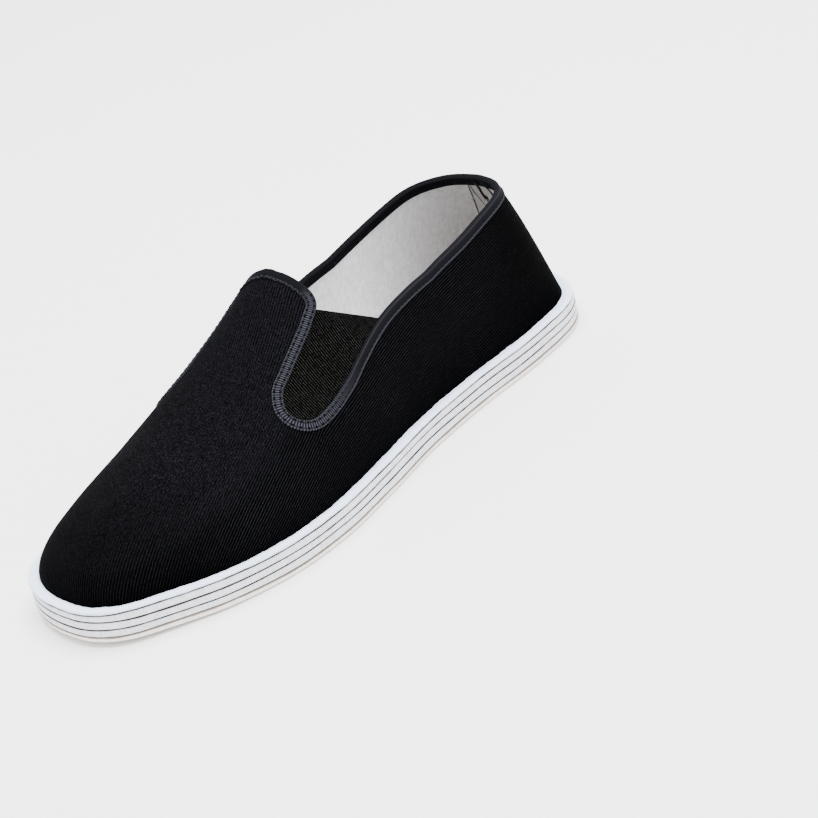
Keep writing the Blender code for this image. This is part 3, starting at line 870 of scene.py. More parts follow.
def tape_frame():
    """What the tape and its threads share, at each station of the closed loop.

    It holds the shares and side, the cloth's edge, its normal, the direction along the
    loop and the one into the cloth, and the travel with the loop's whole length last.
    """
    along, up, side = tape_path()
    edge, _, _, normal = frame_at(along, up, side)
    path = unit(np.roll(edge, -1, axis=0) - np.roll(edge, 1, axis=0))
    travel = travel_of(closed(edge))
    rear_rungs = ease(along, 0.49, 0.60)
    front_rungs = (1 - ease(up, 0.67, 0.76)) * (along > OPENING["slot back"][0])
    rungs = np.where(up < OPENING["slot foot"][1], rear_rungs, front_rungs)
    return {"shares": (along, up, side), "edge": edge, "normal": normal, "path": path,
            "inward": unit(np.cross(normal, path)), "travel": travel,
            "rungs": rungs, "stitches": int(round(travel[-1] / TAPE_STITCH))}


def walk_in(band, distances):
    """Places and normals at distances from the edge, square to it and along the cloth."""
    along, up, side = band["shares"]
    rows = []
    here = 0.0
    for distance in distances:
        steps = max(1, int(np.ceil((distance - here) / WALK_STEP)))
        for _ in range(steps):
            _, forward, upward, normal = frame_at(along, up, side)
            inward = unit(np.cross(normal, band["path"]))
            more_along, more_up = shares_of(inward * (distance - here) / steps, forward, upward)
            along = along + more_along
            up = up + more_up
        here = distance
        place, _, _, normal = frame_at(along, up, side)
        rows.append((place, normal))
    return rows


def make_tape(band, finish):
    """Folded tape: two legs along the cloth and a round crown over its edge.

    The crown is half a ring of radius WALL / 2 + TAPE_PROUD across the cloth and of
    TAPE_PROUD past its edge, and the legs follow TAPE_RELIEF.
    """
    edge, normal, inward = band["edge"], band["normal"], band["inward"]
    rows = walk_in(band, [TAPE_LEG * share for share, _ in TAPE_RELIEF])
    outer, inner = [], []
    for (place, leg_normal), (_, level) in zip(rows, TAPE_RELIEF):
        outer.append(place + leg_normal * TAPE_PROUD * level)
        inner.append(place - leg_normal * (WALL + TAPE_PROUD * level))
    middle = edge - normal * WALL / 2
    reach = WALL / 2 + TAPE_PROUD
    turns = np.linspace(0, np.pi, 9)
    crown = [middle + normal * reach * np.cos(turn) - inward * TAPE_PROUD * np.sin(turn) for turn in turns]
    closing = [place - leg_normal * (WALL - 0.1 * MM), middle + inward * 0.4 * MM,
               place - leg_normal * 0.1 * MM]
    section = outer[::-1] + crown + inner + closing
    down = np.array(TAPE_RELIEF)[:, 0] * TAPE_LEG
    half_round = (reach + TAPE_PROUD) / 2
    past = np.pi * half_round + down
    across = np.concatenate((-down[::-1], turns * half_round, past, [past[-1], 0.0, -down[-1]]))
    rings = closed(np.stack(section, 1))
    tongue = band["shares"][1] > OPENING["tongue corner"][1]
    masks = {"rungs": band["rungs"], "tongue": tongue.astype(float)}
    masks = {name: np.repeat(closed(values), rings.shape[1]) for name, values in masks.items()}
    make_piece("binding_tape", rings.reshape(-1, 3), tube_quads(*rings.shape[:2]),
               flat_of(band["travel"], across), finish, "black_tape", ["binding"], masks=masks)


def stretches(line, facing, travel, count):
    """Places, directions, normals and lengths of even stretches of a line, by its travel."""
    at = (np.arange(count) + 0.5) * travel[-1] / count
    half = travel[-1] / count / 2
    reach = read_line(line, travel, at + half) - read_line(line, travel, at - half)
    facing = unit(read_line(facing, travel, at))
    return read_line(line, travel, at), unit(reach), facing, np.linalg.norm(reach, axis=1)


def join_parts(parts):
    """Points, quads and flat coordinates of several bodies put into one mesh."""
    starts = np.cumsum([0] + [len(points) for points, _, _ in parts[:-1]])
    points = np.concatenate([part[0] for part in parts])
    quads = np.concatenate([part[1] + start for part, start in zip(parts, starts)])
    return points, quads, np.concatenate([part[2] for part in parts])


def tape_row(band, row, rise, count):
    """Even stretches of a row walked on the tape, and the rungs and share up at each."""
    place, normal = row
    parts = stretches(closed(place + normal * rise), closed(normal), band["travel"], count)
    middle = (np.arange(count) + 0.5) * band["travel"][-1] / count
    rungs = np.interp(middle, band["travel"][:-1], band["rungs"])
    return parts, rungs, np.interp(middle, band["travel"][:-1], band["shares"][1])


def make_tape_stitches(band, finish):
    """Black stitches on the tape: a row near its lower edge, and one near its fold at the slots."""
    bodies = []
    rows = walk_in(band, [row * TAPE_LEG for row in STITCH_ROWS])
    for number, row in enumerate(rows):
        parts, rungs, _ = tape_row(band, row, TAPE_PROUD * 0.86, band["stitches"])
        kept = (rungs > 0.3) | (number > 0)
        spots, directions, normals, lengths = (part[kept] for part in parts)
        bodies.append(make_stitches(spots, directions, normals, lengths * TAPE_STITCH_SHARE,
                                    BLACK_THREAD, BLACK_THREAD))
    make_piece("binding_stitches", *join_parts(bodies), finish, "black_tape")


def make_chain_stitches(band, finish):
    """Light chain of thread along the tape's lower edge over the tongue.

    Each stitch is turned to one side and the next to the other.
    """
    row, = walk_in(band, [CHAIN_ROW * TAPE_LEG])
    count = int(round(band["travel"][-1] / CHAIN_STITCH))
    parts, rungs, over = tape_row(band, row, CHAIN_RISE, count)
    kept = (rungs < 0.5) & (over > OPENING["tongue corner"][1])
    lean = np.where(np.arange(count) % 2, CHAIN_LEAN, -CHAIN_LEAN)[kept, None]
    spots, directions, normals, lengths = (part[kept] for part in parts)
    directions = unit(directions + np.cross(normals, directions) * lean)
    body = make_stitches(spots, directions, normals, lengths * CHAIN_STITCH_SHARE,
                         CHAIN_THREAD, CHAIN_THREAD)
    make_piece("tongue_chain", *body, finish, "black_tape")


# Elastic panels

def elastic_border(first, last, side, above):
    """Line in the middle of the wall, tucked under the tape along one edge of the slot.

    The slot lies above the edge where above is 1, and below it where above is -1. The
    line starts ELASTIC_DROP below the place first.
    """
    along, up = opening_path(first, last, ELASTIC_ROWS + 20)
    side = np.full(len(along), side)
    _, forward, upward, normal = frame_at(along, up, side)
    path = unit(forward * np.gradient(along)[:, None] + upward * np.gradient(up)[:, None])
    outward = unit(np.cross(path, normal) * side[:, None] * above)
    more_along, more_up = shares_of(outward * ELASTIC_TUCK, forward, upward)
    place, _, _, normal = frame_at(along + more_along, up + more_up, side)
    place = place - normal * WALL / 2
    travel = travel_of(place)
    return read_line(place, travel, np.linspace(ELASTIC_DROP, travel[-1], ELASTIC_ROWS + 1))


def make_elastic(name, stands_for, side, finish):
    """Elastic panel, straight from edge to edge, with slanting ribs on both faces.

    The rib's height is its depth times |sin| of the place across the ribs.
    """
    back = elastic_border("slot mouth", "slot foot", side, 1)
    front = elastic_border("tongue corner", "slot foot", side, -1)
    back[-1] = front[-1] = (back[-1] + front[-1]) / 2
    share = np.linspace(0, 1, ELASTIC_COLUMNS + 1)[None, :, None]
    middle = back[:, None, :] + (front - back)[:, None, :] * share
    normal = np.cross(np.gradient(middle, axis=1), np.gradient(middle, axis=0)) * side
    normal[-1] = normal[-2]
    normal = unit(normal)
    normal[-1] = normal[-1].mean(axis=0)
    top = unit(front[0] - back[0])
    facing = unit(normal[0, ELASTIC_COLUMNS // 2])
    down = np.cross(top, facing) * side * -1
    offset = middle - middle[0, 0]
    flat = np.stack([offset @ top, offset @ down], -1)
    over = flat @ np.array([-np.sin(ELASTIC_TURN), np.cos(ELASTIC_TURN)])
    rib = np.abs(np.sin(np.pi * over / ELASTIC_RIB))
    edge = np.minimum(share[..., 0], 1 - share[..., 0]) * 12
    raised = ELASTIC_THICKNESS / 2 - 0.10 * MM + ELASTIC_RELIEF * rib * np.clip(edge, 0, 1)
    outside = (middle + normal * raised[..., None]).reshape(-1, 3)
    inside = (middle - normal * raised[..., None]).reshape(-1, 3)
    quads = grid_quads(*middle.shape[:2])[:, ::side]
    body = shell(outside, inside, quads, flat.reshape(-1, 2))
    make_piece(name, *body, finish, "black_elastic", [stands_for])


# Sole

def sole_ring(inset, height, count):
    """Ring of the sole at an inset from the outline and a height over the floor.

    It runs from the heel along the outer side to the toe and back along the inner side,
    evenly spaced on the outline itself, and ends where it starts.
    """
    fine = np.linspace(0, np.pi, 3001)
    sides = []
    for side in (OUTER, INNER):
        x, y = outline(side, 0.0, fine)
        travel = running(np.hypot(np.diff(x), np.diff(y)))
        sides.append(outline(side, inset, np.interp(np.linspace(0, travel[-1], count), travel, fine)))
    (outer_x, outer_y), (inner_x, inner_y) = sides
    x = np.concatenate((outer_x, inner_x[-2::-1]))
    y = np.concatenate((outer_y, inner_y[-2::-1]))
    return np.stack([x, y, height + lift(x)], -1)


def seam_wave(number, turn):
    """Rise and fall of a seam between two layers round the shoe: three slow sines."""
    phase = 2.1 * number
    return SEAM_WAVE * (0.45 * np.sin(3 * turn + phase) + 0.35 * np.sin(8 * turn + 1.9 * phase)
                        + 0.20 * np.sin(19 * turn + 0.6 * phase))


def sole_rings(profile, count, low_seam=None, high_seam=None):
    """Rings of a layer, with each station's turn and travel and each profile point's level.

    A profile row is an inset and a height. A wavy seam moves the profile up and down,
    fully at its own edge of the layer and not at all at the other.
    """
    rings = np.stack([sole_ring(inset, height, count) for inset, height in profile], 1)
    travel = travel_of(rings[:, len(profile) // 2])
    turn = travel / travel[-1] * 2 * np.pi
    height = np.array([row[1] for row in profile])
    level = np.clip((height - height[0]) / (np.max(height) - height[0]), 0, 1)
    for seam, share in ((low_seam, 1 - level), (high_seam, level)):
        if seam is not None:
            rings[..., 2] += seam_wave(seam, turn)[:, None] * share
    return rings, turn, travel, level


def profile_travel(profile):
    """Distance run up a profile, from 0 at its first row."""
    return running(np.hypot(*np.diff(np.array(profile), axis=0).T))


def wall_quads(rings, low, high):
    """Quads of a wall of rings, and of a flat face under it and over it where asked for.

    A flat face is strips across, from the outer side to the inner side.
    """
    stations, columns = rings.shape[:2]
    near = np.arange((stations - 1) // 2)
    far = stations - 1 - near
    strips = np.stack([near, far, far - 1, near + 1], -1) * columns
    parts = [grid_quads(stations, columns)]
    if low:
        parts.append(strips[:, ::-1])
    if high:
        parts.append(strips + columns - 1)
    return np.concatenate(parts)


def make_wrap(name, rings, uv, level, finish, slot, stands_for):
    """Piece of a layer: its wall of rings and both flat faces, with the level as its mask."""
    make_piece(name, rings.reshape(-1, 3), wall_quads(rings, True, True), uv, finish, slot, [stands_for],
               masks={"level": level})


def layer_profile(base, thickness):
    """Upright side with round edges: a superellipse about the middle of the layer."""
    turn = np.linspace(-np.pi / 2, np.pi / 2, 15)
    out = np.abs(np.cos(turn)) ** (2 / LAYER_SQUARENESS)
    rise = np.sign(np.sin(turn)) * np.abs(np.sin(turn)) ** (2 / LAYER_SQUARENESS)
    return [(LAYER_ROLL * (1 - reach), base + thickness * (1 + height) / 2)
            for reach, height in zip(out, rise)]


def make_layers(finish):
    """The three cloth-wrapped layers, each nearly touching the next."""
    for number in range(LAYER_COUNT):
        base = OUTSOLE_THICKNESS + GAP + number * LAYER_PITCH
        profile = layer_profile(base, LAYER_THICKNESS + LAYER_FILL)
        rings, turn, travel, level = sole_rings(profile, LAYER_STATIONS, number, number + 1)
        centre = rings.mean(axis=(0, 1))
        outward = unit(rings[..., :2] - centre[:2])
        sway = 0.6 * seam_wave(number + 5, turn) - 0.05 * MM
        rings[..., :2] += outward * sway[:, None, None]
        uv = flat_of(travel, profile_travel(profile))
        make_wrap("sole_layer_cloth_" + str(number + 1), rings, uv, level, finish, "white_cloth",
                  "sole_layer_" + str(number + 1))


def make_welt(finish):
    """Ribbed tape round the rim: a low round bead whose inner edge is pulled in by stitches.

    The bead swells by slow sines and by its ribs, and the inner edge goes in and out by
    |sin| of the travel over the stitch that holds it.
    """
    profile = [
        (1.00 * MM, 0.0),
        (0.55 * MM, 0.12 * WELT_SEAT),
        (0.20 * MM, 0.38 * WELT_SEAT),
        (0.02 * MM, 0.85 * WELT_SEAT),
        (0.02 * WELT_SHOW, WELT_SEAT + 0.30 * WELT_BEAD),
        (0.07 * WELT_SHOW, WELT_SEAT + 0.66 * WELT_BEAD),
        (0.15 * WELT_SHOW, WELT_SEAT + 0.98 * WELT_BEAD),
        (0.28 * WELT_SHOW, WELT_SEAT + 1.22 * WELT_BEAD),
        (0.46 * WELT_SHOW, WELT_SEAT + 1.15 * WELT_BEAD),
        (0.64 * WELT_SHOW, WELT_SEAT + 0.82 * WELT_BEAD),
        (0.80 * WELT_SHOW, WELT_SEAT + 0.60 * WELT_BEAD),
        (0.92 * WELT_SHOW, WELT_SEAT + 0.42 * WELT_BEAD),
        (1.00 * WELT_SHOW, WELT_SEAT + 0.20 * WELT_BEAD),
        (1.20 * WELT_SHOW, WELT_SEAT - 0.1 * MM),
    ]
    profile = [(inset, WELT_BASE + height) for inset, height in profile]
    rings, turn, travel, level = sole_rings(profile, WELT_STATIONS)
    rings[..., 2] += seam_wave(LAYER_COUNT, turn)[:, None] * np.clip(1 - 1.6 * level, 0, 1)
    around = unit(np.gradient(rings, axis=0))
    outward = unit(np.cross(np.gradient(rings, axis=1), around))
    # Shares of the swell, and further down of the pull, at each row of the profile
    on_bead = np.array([0, 0.3, 0.7, 1, 1, 1, 1, 1, 1, 1, 0.9, 0.6, 0.2, 0])
    swell = MM * (0.10 * np.sin(17 * turn + 0.8) + 0.06 * np.sin(43 * turn) + 0.04 * np.sin(97 * turn + 2))
    swell = swell + WELT_RELIEF * (np.abs(np.sin(np.pi * travel / WELT_RIB)) - 0.6)
    rings = rings + outward * (swell[:, None] * on_bead)[..., None]
    pulled = np.array([0, 0, 0, 0, 0, 0, 0, 0, 0, 0.1, 0.35, 0.7, 1, 0.6])
    pull = WELT_PULL * (0.5 - np.abs(np.sin(np.pi * travel / WELT_STITCH)))
    pull = pull + WELT_PULL * (0.5 * np.sin(29 * turn + 1) + 0.4 * np.sin(61 * turn))
    middle = rings[..., :2] - rings[:, -1:, :2]
    rings[..., :2] += unit(middle + 1e-9) * (pull[:, None] * pulled)[..., None]
    # The rows under the bead get a low level, where the finish paints a shadow line
    level = level * 0.5 + 0.5 * (np.arange(len(profile)) > 3)
    uv = flat_of(travel, profile_travel(profile))
    make_wrap("welt_tape", rings, uv, level, finish, "white_tape", "welt")


def edge_distance(points):
    """Distance in plan from each point to the sole's outline, for some points at a time."""
    ring = sole_ring(0, 0, RIM_STATIONS)[:, :2]
    start, step = ring[:-1], np.diff(ring, axis=0)
    best = []
    for part in np.array_split(points[:, None, :2], len(points) // 8000 + 1):
        part = part - start[None]
        share = np.clip((part * step).sum(-1) / (step * step).sum(-1), 0, 1)
        best.append(np.linalg.norm(part - share[..., None] * step, axis=-1).min(axis=1))
    return np.concatenate(best)


def sole_pull(distance):
    """How far the stitch rows pull the cloth up: depth times the square of (1 + cos) / 2.

    It is all of the depth on a row, and fades out towards the rim.
    """
    phase = (distance - SOLE_BORDER) / SOLE_ROW
    near = np.clip((distance - SOLE_BORDER / 2) / (SOLE_BORDER / 2), 0, 1)
    return SOLE_PULL * near * (0.5 + 0.5 * np.cos(2 * np.pi * phase)) ** 2


def flat_grid(ring, columns):
    """Grid straight across a ring, from its outer side to its inner side."""
    count = (len(ring) + 1) // 2
    share = np.linspace(0, 1, columns)[None, :, None]
    return ring[:count, None] * (1 - share) + ring[::-1][:count, None] * share


def make_outsole(finish):
    """Cream cloth underneath: a rounded wall and a quilted bottom on a grid.

    The bottom's points run straight across the sole between the tucked edges, and the
    stitch rows pull them up.
    """
    thickness = OUTSOLE_THICKNESS + LAYER_FILL
    tuck = OUTSOLE_TUCK
    profile = [
        (tuck, 0.0),
        (0.62 * tuck, 0.05 * thickness),
        (0.35 * tuck, 0.15 * thickness),
        (0.15 * tuck, 0.30 * thickness),
        (0.05 * tuck, 0.48 * thickness),
        (0.05 * tuck, 0.68 * thickness),
        (0.14 * tuck, 0.85 * thickness),
        (0.26 * tuck, 0.95 * thickness),
        (0.50 * tuck, thickness),
    ]
    rings, _, travel, level = sole_rings(profile, OUTSOLE_STATIONS, high_seam=0)
    wall = rings.reshape(-1, 3)
    bottom = flat_grid(rings[:, 0], OUTSOLE_COLUMNS)
    flat = bottom.reshape(-1, 3).copy()
    distance = edge_distance(flat)
    flat[:, 2] += sole_pull(distance)
    # The row mask places the painted shade along the stitch rows
    row = np.concatenate((np.full(len(wall), -1.0), (distance - SOLE_BORDER) / SOLE_ROW))
    quads = np.concatenate((wall_quads(rings, False, True), grid_quads(*bottom.shape[:2], first=len(wall))))
    uv = np.concatenate((flat_of(travel, profile_travel(profile) - 0.5), flat[:, :2]))
    level = np.concatenate((np.resize(0.5 + 0.5 * level, len(wall)), np.full(len(flat), 0.5)))
    make_piece("outsole_cloth", np.concatenate((wall, flat)), quads, uv, finish, "cream_cloth", ["outsole"],
               masks={"level": level, "row": row})


def make_sole_stitches(finish, hole_shade_finish):
    """Long stitches of white thread along each row of the quilted bottom, and their holes.

    A row is an inset of the outline, and its stitches stay where no edge is nearer. A hole
    is a small dark blot in the cloth between two stitches, the needle hole's shade painted in.
    """
    down = np.array([0.0, 0.0, -1.0])
    parts, holes = [], []
    for inset in np.arange(SOLE_BORDER, BALL_WIDTH / 2, SOLE_ROW):
        ring = sole_ring(inset, 0, ROW_STATIONS)
        travel = travel_of(ring)
        count = int(round(travel[-1] / SOLE_STITCH))
        spots, directions, normals, lengths = stretches(ring, np.tile(down, (len(ring), 1)), travel, count)
        aside = np.cross(directions, down) * SOLE_ROW / 5
        ahead = np.maximum(edge_distance(spots + aside), edge_distance(spots - aside))
        alone = (ahead > inset + 0.12 * SOLE_ROW) | (np.arange(count) < count / 2)
        kept = (edge_distance(spots) > inset - 0.25 * MM) & alone
        spots, directions, normals, lengths = (part[kept] for part in (spots, directions, normals, lengths))
        spots[:, 2] = lift(spots[:, 0]) + SOLE_PULL * 0.8
        parts.append(make_stitches(spots, directions, normals, lengths * SOLE_STITCH_SHARE,
                                   SOLE_THREAD, SOLE_THREAD * 0.8, sink=0.65))
        ends = spots + directions * lengths[:, None] / 2
        ends[:, 2] = lift(ends[:, 0]) + SOLE_PULL * 0.97
        # Dark blots of painted shade where the needle went through
        holes.append(make_stitches(ends, directions, normals, np.full(len(ends), SOLE_HOLE),
                                   SOLE_HOLE * 0.8, SOLE_HOLE * 0.3, sink=0.4))
    make_piece("sole_hole_shade", *join_parts(holes), hole_shade_finish, "cream_cloth")
    make_piece("sole_stitches", *join_parts(parts), finish, "cream_cloth")


def make_insole(finish):
    """Loose cotton insole, a little cupped.

    It sinks by INSOLE_CUP in the middle, less the square of the share across.
    """
    inset = WELT_SHOW + WALL + INSOLE_CLEARANCE
    profile = [
        (inset, FEATHER + 0.1 * INSOLE_THICKNESS),
        (inset, FEATHER + 0.7 * INSOLE_THICKNESS),
        (inset + 0.08 * INSOLE_THICKNESS, FEATHER + 0.88 * INSOLE_THICKNESS),
        (inset + 0.3 * INSOLE_THICKNESS, FEATHER + INSOLE_THICKNESS),
    ]
    rings = sole_rings(profile, INSOLE_STATIONS)[0]
    wall = rings.reshape(-1, 3)
    top = flat_grid(rings[:, -1], INSOLE_COLUMNS)
    across = np.linspace(-1, 1, top.shape[1])
    top[..., 2] -= INSOLE_CUP * (1 - across**2)
    grid = grid_quads(*top.shape[:2], first=len(wall))[:, ::-1]
    quads = np.concatenate((wall_quads(rings, True, False), grid))
    points = np.concatenate((wall, top.reshape(-1, 3)))
    # The station mask gives the insole the lining's painted shade towards the heel
    make_piece("insole_cloth", points, quads, points[:, :2], finish, "grey_cotton", ["insole"],
               masks={"station": points[:, 0] / SOLE_LENGTH + 0.5})


# Node tools: a value is a number, a colour of three numbers, or a wire

class Wire:
    """Output of a node. Arithmetic with it puts Math nodes into the same tree."""

    def __init__(self, socket):
        self.socket = socket
        self.tree = socket.id_data

    def __add__(self, other):
        return sums("ADD", self, other)

    def __sub__(self, other):
        return sums("SUBTRACT", self, other)

    def __rsub__(self, other):
        return sums("SUBTRACT", other, self)

    def __mul__(self, other):
        return sums("MULTIPLY", self, other)

    def __truediv__(self, other):
        return sums("DIVIDE", self, other)

    def __abs__(self):
        return sums("ABSOLUTE", self)


def set_socket(socket, value):
    """Link a wire into a socket, or set the socket's own value. Colours get an alpha of 1."""
    if isinstance(value, Wire):
        value.tree.links.new(value.socket, socket)
    else:
        socket.default_value = (*value, 1) if socket.type == "RGBA" else value


def put(tree, kind, sockets=None, **settings):
    """A node with its settings, and its sockets set by name or number."""
    made = tree.nodes.new(kind)
    for name, value in settings.items():
        setattr(made, name, value)
    for key, value in (sockets or {}).items():
        set_socket(made.inputs[key], value)
    return made


def sums(operation, *values):
    """Result of a Math node."""
    tree = next(value.tree for value in values if isinstance(value, Wire))
    return Wire(put(tree, "ShaderNodeMath", dict(enumerate(values)), operation=operation).outputs[0])


def wave(value):
    """|sin(pi value)|: round ridges with a sharp valley at each whole number."""
    return abs(sums("SINE", value * np.pi))


def blend(share, first, second):
    """Colour between two, by a share."""
    sockets = {0: share, 6: first, 7: second}
    return Wire(put(share.tree, "ShaderNodeMix", sockets, data_type="RGBA").outputs[2])


def ramp(value, low, high, to_low=0.0, to_high=1.0):
    """Value carried from one range to another, and kept inside it."""
    sockets = {0: value, 1: low, 2: high, 3: to_low, 4: to_high}
    return Wire(put(value.tree, "ShaderNodeMapRange", sockets, clamp=True).outputs[0])


def noise(place, size, detail=2.0, roughness=0.5):
    """Noise whose features are about the given size."""
    sockets = {"Vector": place, "Scale": 1 / size, "Detail": detail, "Roughness": roughness}
    return Wire(put(place.tree, "ShaderNodeTexNoise", sockets).outputs["Fac"])


def times_vector(first, second):
    """Product of two vectors or colours, part by part."""
    made = put(first.tree, "ShaderNodeVectorMath", {0: first, 1: second}, operation="MULTIPLY")
    return Wire(made.outputs[0])


def parts_of(place):
    """First two coordinates of a place."""
    made = put(place.tree, "ShaderNodeSeparateXYZ", {0: place})
    return Wire(made.outputs[0]), Wire(made.outputs[1])


def cloth_map(tree):
    """The piece's own flat coordinates, in metres."""
    return Wire(put(tree, "ShaderNodeUVMap", uv_map="cloth").outputs[0])


def object_place(tree):
    """Place in the shoe's frame."""
    return Wire(put(tree, "ShaderNodeTexCoord").outputs["Object"])


def mask(tree, name):
    """Value of one of the piece's own masks."""
    return Wire(put(tree, "ShaderNodeAttribute", attribute_name=name).outputs["Fac"])


def new_group(name, place, inputs, outputs):
    """Node group of one vector and some numbers: its wires in and its sockets out."""
    tree = bpy.data.node_groups.new(name, "ShaderNodeTree")
    tree.interface.new_socket(place, in_out="INPUT", socket_type="NodeSocketVector")
    for names, way in ((inputs, "INPUT"), (outputs, "OUTPUT")):
        for socket in names:
            tree.interface.new_socket(socket, in_out=way, socket_type="NodeSocketFloat")
    given = {socket.name: Wire(socket) for socket in tree.nodes.new("NodeGroupInput").outputs}
    return tree, given, tree.nodes.new("NodeGroupOutput").inputs


def make_rib_group():
    """Parallel ribs across a cloth: Ridge is |sin(pi t)|, with t the turned place over the
    spacing, and Thread runs along the ribs in the same steps."""
    tree, given, out = new_group("ribs", "Cloth", ("Spacing", "Turn", "Wobble"), ("Ridge", "Thread"))
    x, y = parts_of(given["Cloth"])
    cosine = sums("COSINE", given["Turn"])
    sine = sums("SINE", given["Turn"])
    stray = (noise(given["Cloth"], 4 * MM, 3.0) - 0.5) * given["Wobble"]
    t = (y * cosine - x * sine) / given["Spacing"] + stray
    s = (x * cosine + y * sine) / given["Spacing"]
    set_socket(out["Ridge"], wave(t))
    set_socket(out["Thread"], wave(s * 1.5 + sums("FLOOR", t) * 0.37))
    return tree


def make_weave_group():
    """Plain weave: two thread families that pass over each other in turn."""
    tree, given, out = new_group("plain_weave", "Cloth", ("Spacing",), ("Height",))
    stray = (noise(given["Cloth"], 2.5 * MM, 3.0) - 0.5) * 1.2
    warp, weft = (sums("SINE", (part / given["Spacing"] + stray) * np.pi)
                  for part in parts_of(given["Cloth"]))
    thick = sums("MAXIMUM", abs(warp), abs(weft))
    set_socket(out["Height"], thick * 0.6 + warp * weft * 0.3)
    return tree


def make_lint_group():
    """Fibres and lint: Specks are sparse light points, Fuzz is fine noise, Tone is slow."""
    tree, given, out = new_group("lint", "Place", ("Share",), ("Specks", "Fuzz", "Tone"))
    low = 0.72 - given["Share"] * 0.3
    set_socket(out["Specks"], ramp(noise(given["Place"], 0.45 * MM, 2.0, 0.7), low, low + 0.08))
    set_socket(out["Fuzz"], noise(given["Place"], 0.8 * MM, 4.0, 0.75))
    set_socket(out["Tone"], noise(given["Place"], 22 * MM, 3.0))
    return tree


RIBS = make_rib_group()
WEAVE = make_weave_group()
LINT = make_lint_group()


def use_group(tree, group, **values):
    """Outputs of a group node by name, with its inputs set by name."""
    made = put(tree, "ShaderNodeGroup", node_tree=group)
    for name, value in values.items():
        set_socket(made.inputs[name], value)
    return {socket.name: Wire(socket) for socket in made.outputs}


def ribs_on(tree, spacing, turn, wobble):
    """Ribs across a piece's own cloth: Ridge and Thread."""
    return use_group(tree, RIBS, Cloth=cloth_map(tree), Spacing=spacing, Turn=turn, Wobble=wobble)


def lint_on(tree, share=0.2):
    """Lint over a piece: Specks, Fuzz and Tone."""
    return use_group(tree, LINT, Place=object_place(tree), Share=share)


def new_finish(name, roughness, specular):
    """Material with a Principled shader: itself, its tree and its shader."""
    finish = bpy.data.materials.new(name)
    finish.use_nodes = True
    shader = finish.node_tree.nodes["Principled BSDF"]
    shader.inputs["Roughness"].default_value = roughness
    shader.inputs["Specular IOR Level"].default_value = specular
    return finish, finish.node_tree, shader


def cover(shader, colour, *heights):
    """Gives a shader its colour and its relief.

    The relief is bump nodes one after another, each a height from 0 to 1 and its depth
    in metres.
    """
    normal = {}
    for height, depth in heights:
        sockets = {"Height": height, "Distance": depth, "Strength": 1.0, **normal}
        normal = {"Normal": Wire(put(height.tree, "ShaderNodeBump", sockets).outputs[0])}
    for name, value in {"Base Color": colour, **normal}.items():
        set_socket(shader.inputs[name], value)


# Finishes

def twill_finish():
    """Black cotton twill: thin light ribs along the flat pattern, as strong as a mask of painted light and
    shade.

    Where the cloth faces up they dissolve into flecks and its fuzz is lighter, a painted
    light, and the back seam is a dark groove.
    """
    finish, tree, shader = new_finish("black_twill", 0.9, 0.01)
    top = mask(tree, "top")
    painted_light = mask(tree, "painted_light")
    ribs = ribs_on(tree, TWILL_SPACING, TWILL_TURN, 0.5)
    lint = lint_on(tree, 0.25)
    thread = ramp(ribs["Thread"], 0.0, 0.8, 0.25, 1.0) * ramp(lint["Fuzz"], 0.40, 0.60, 0.4, 1.6)
    line = ramp(ribs["Ridge"], 0.86, 1.0) * thread * ramp(lint["Tone"], 0.35, 0.65, 0.7, 1.25)
    fleck = ramp(noise(object_place(tree), 0.46 * MM, 1.0, 0.6), 0.51, 0.62)
    line = line + ramp(top, 0.62, 1.0, 0.0, 0.85) * (fleck - line)
    # The ribs' brightness follows the mask of painted light and shade
    colour = blend(line * painted_light, (0.0001, 0.0001, 0.0001), (0.0200, 0.0198, 0.0245))
    # Painted light: the fuzz grows lighter where the cloth faces up
    fuzz = ramp(lint["Fuzz"], 0.46, 0.72) * ramp(top, 0.3, 0.9, 0.0, 0.5)
    colour = blend(fuzz, colour, (0.0030, 0.0031, 0.0046))
    # The specks are stronger where the painted light is
    colour = blend(lint["Specks"] * ramp(painted_light, 0.1, 0.9, 0.1, 0.5), colour, (0.024, 0.024, 0.028))
    seam = ramp(mask(tree, "seam"), 0.25, 0.8)
    colour = blend(seam, (0.0003, 0.0003, 0.0003), colour)
    set_socket(shader.inputs["Roughness"], ramp(lint["Fuzz"], 0.3, 0.7, 0.85, 1.0))
    cover(shader, colour, (line, 0.16 * MM), (lint["Fuzz"], 0.12 * MM), (seam, 0.5 * MM))
    return finish


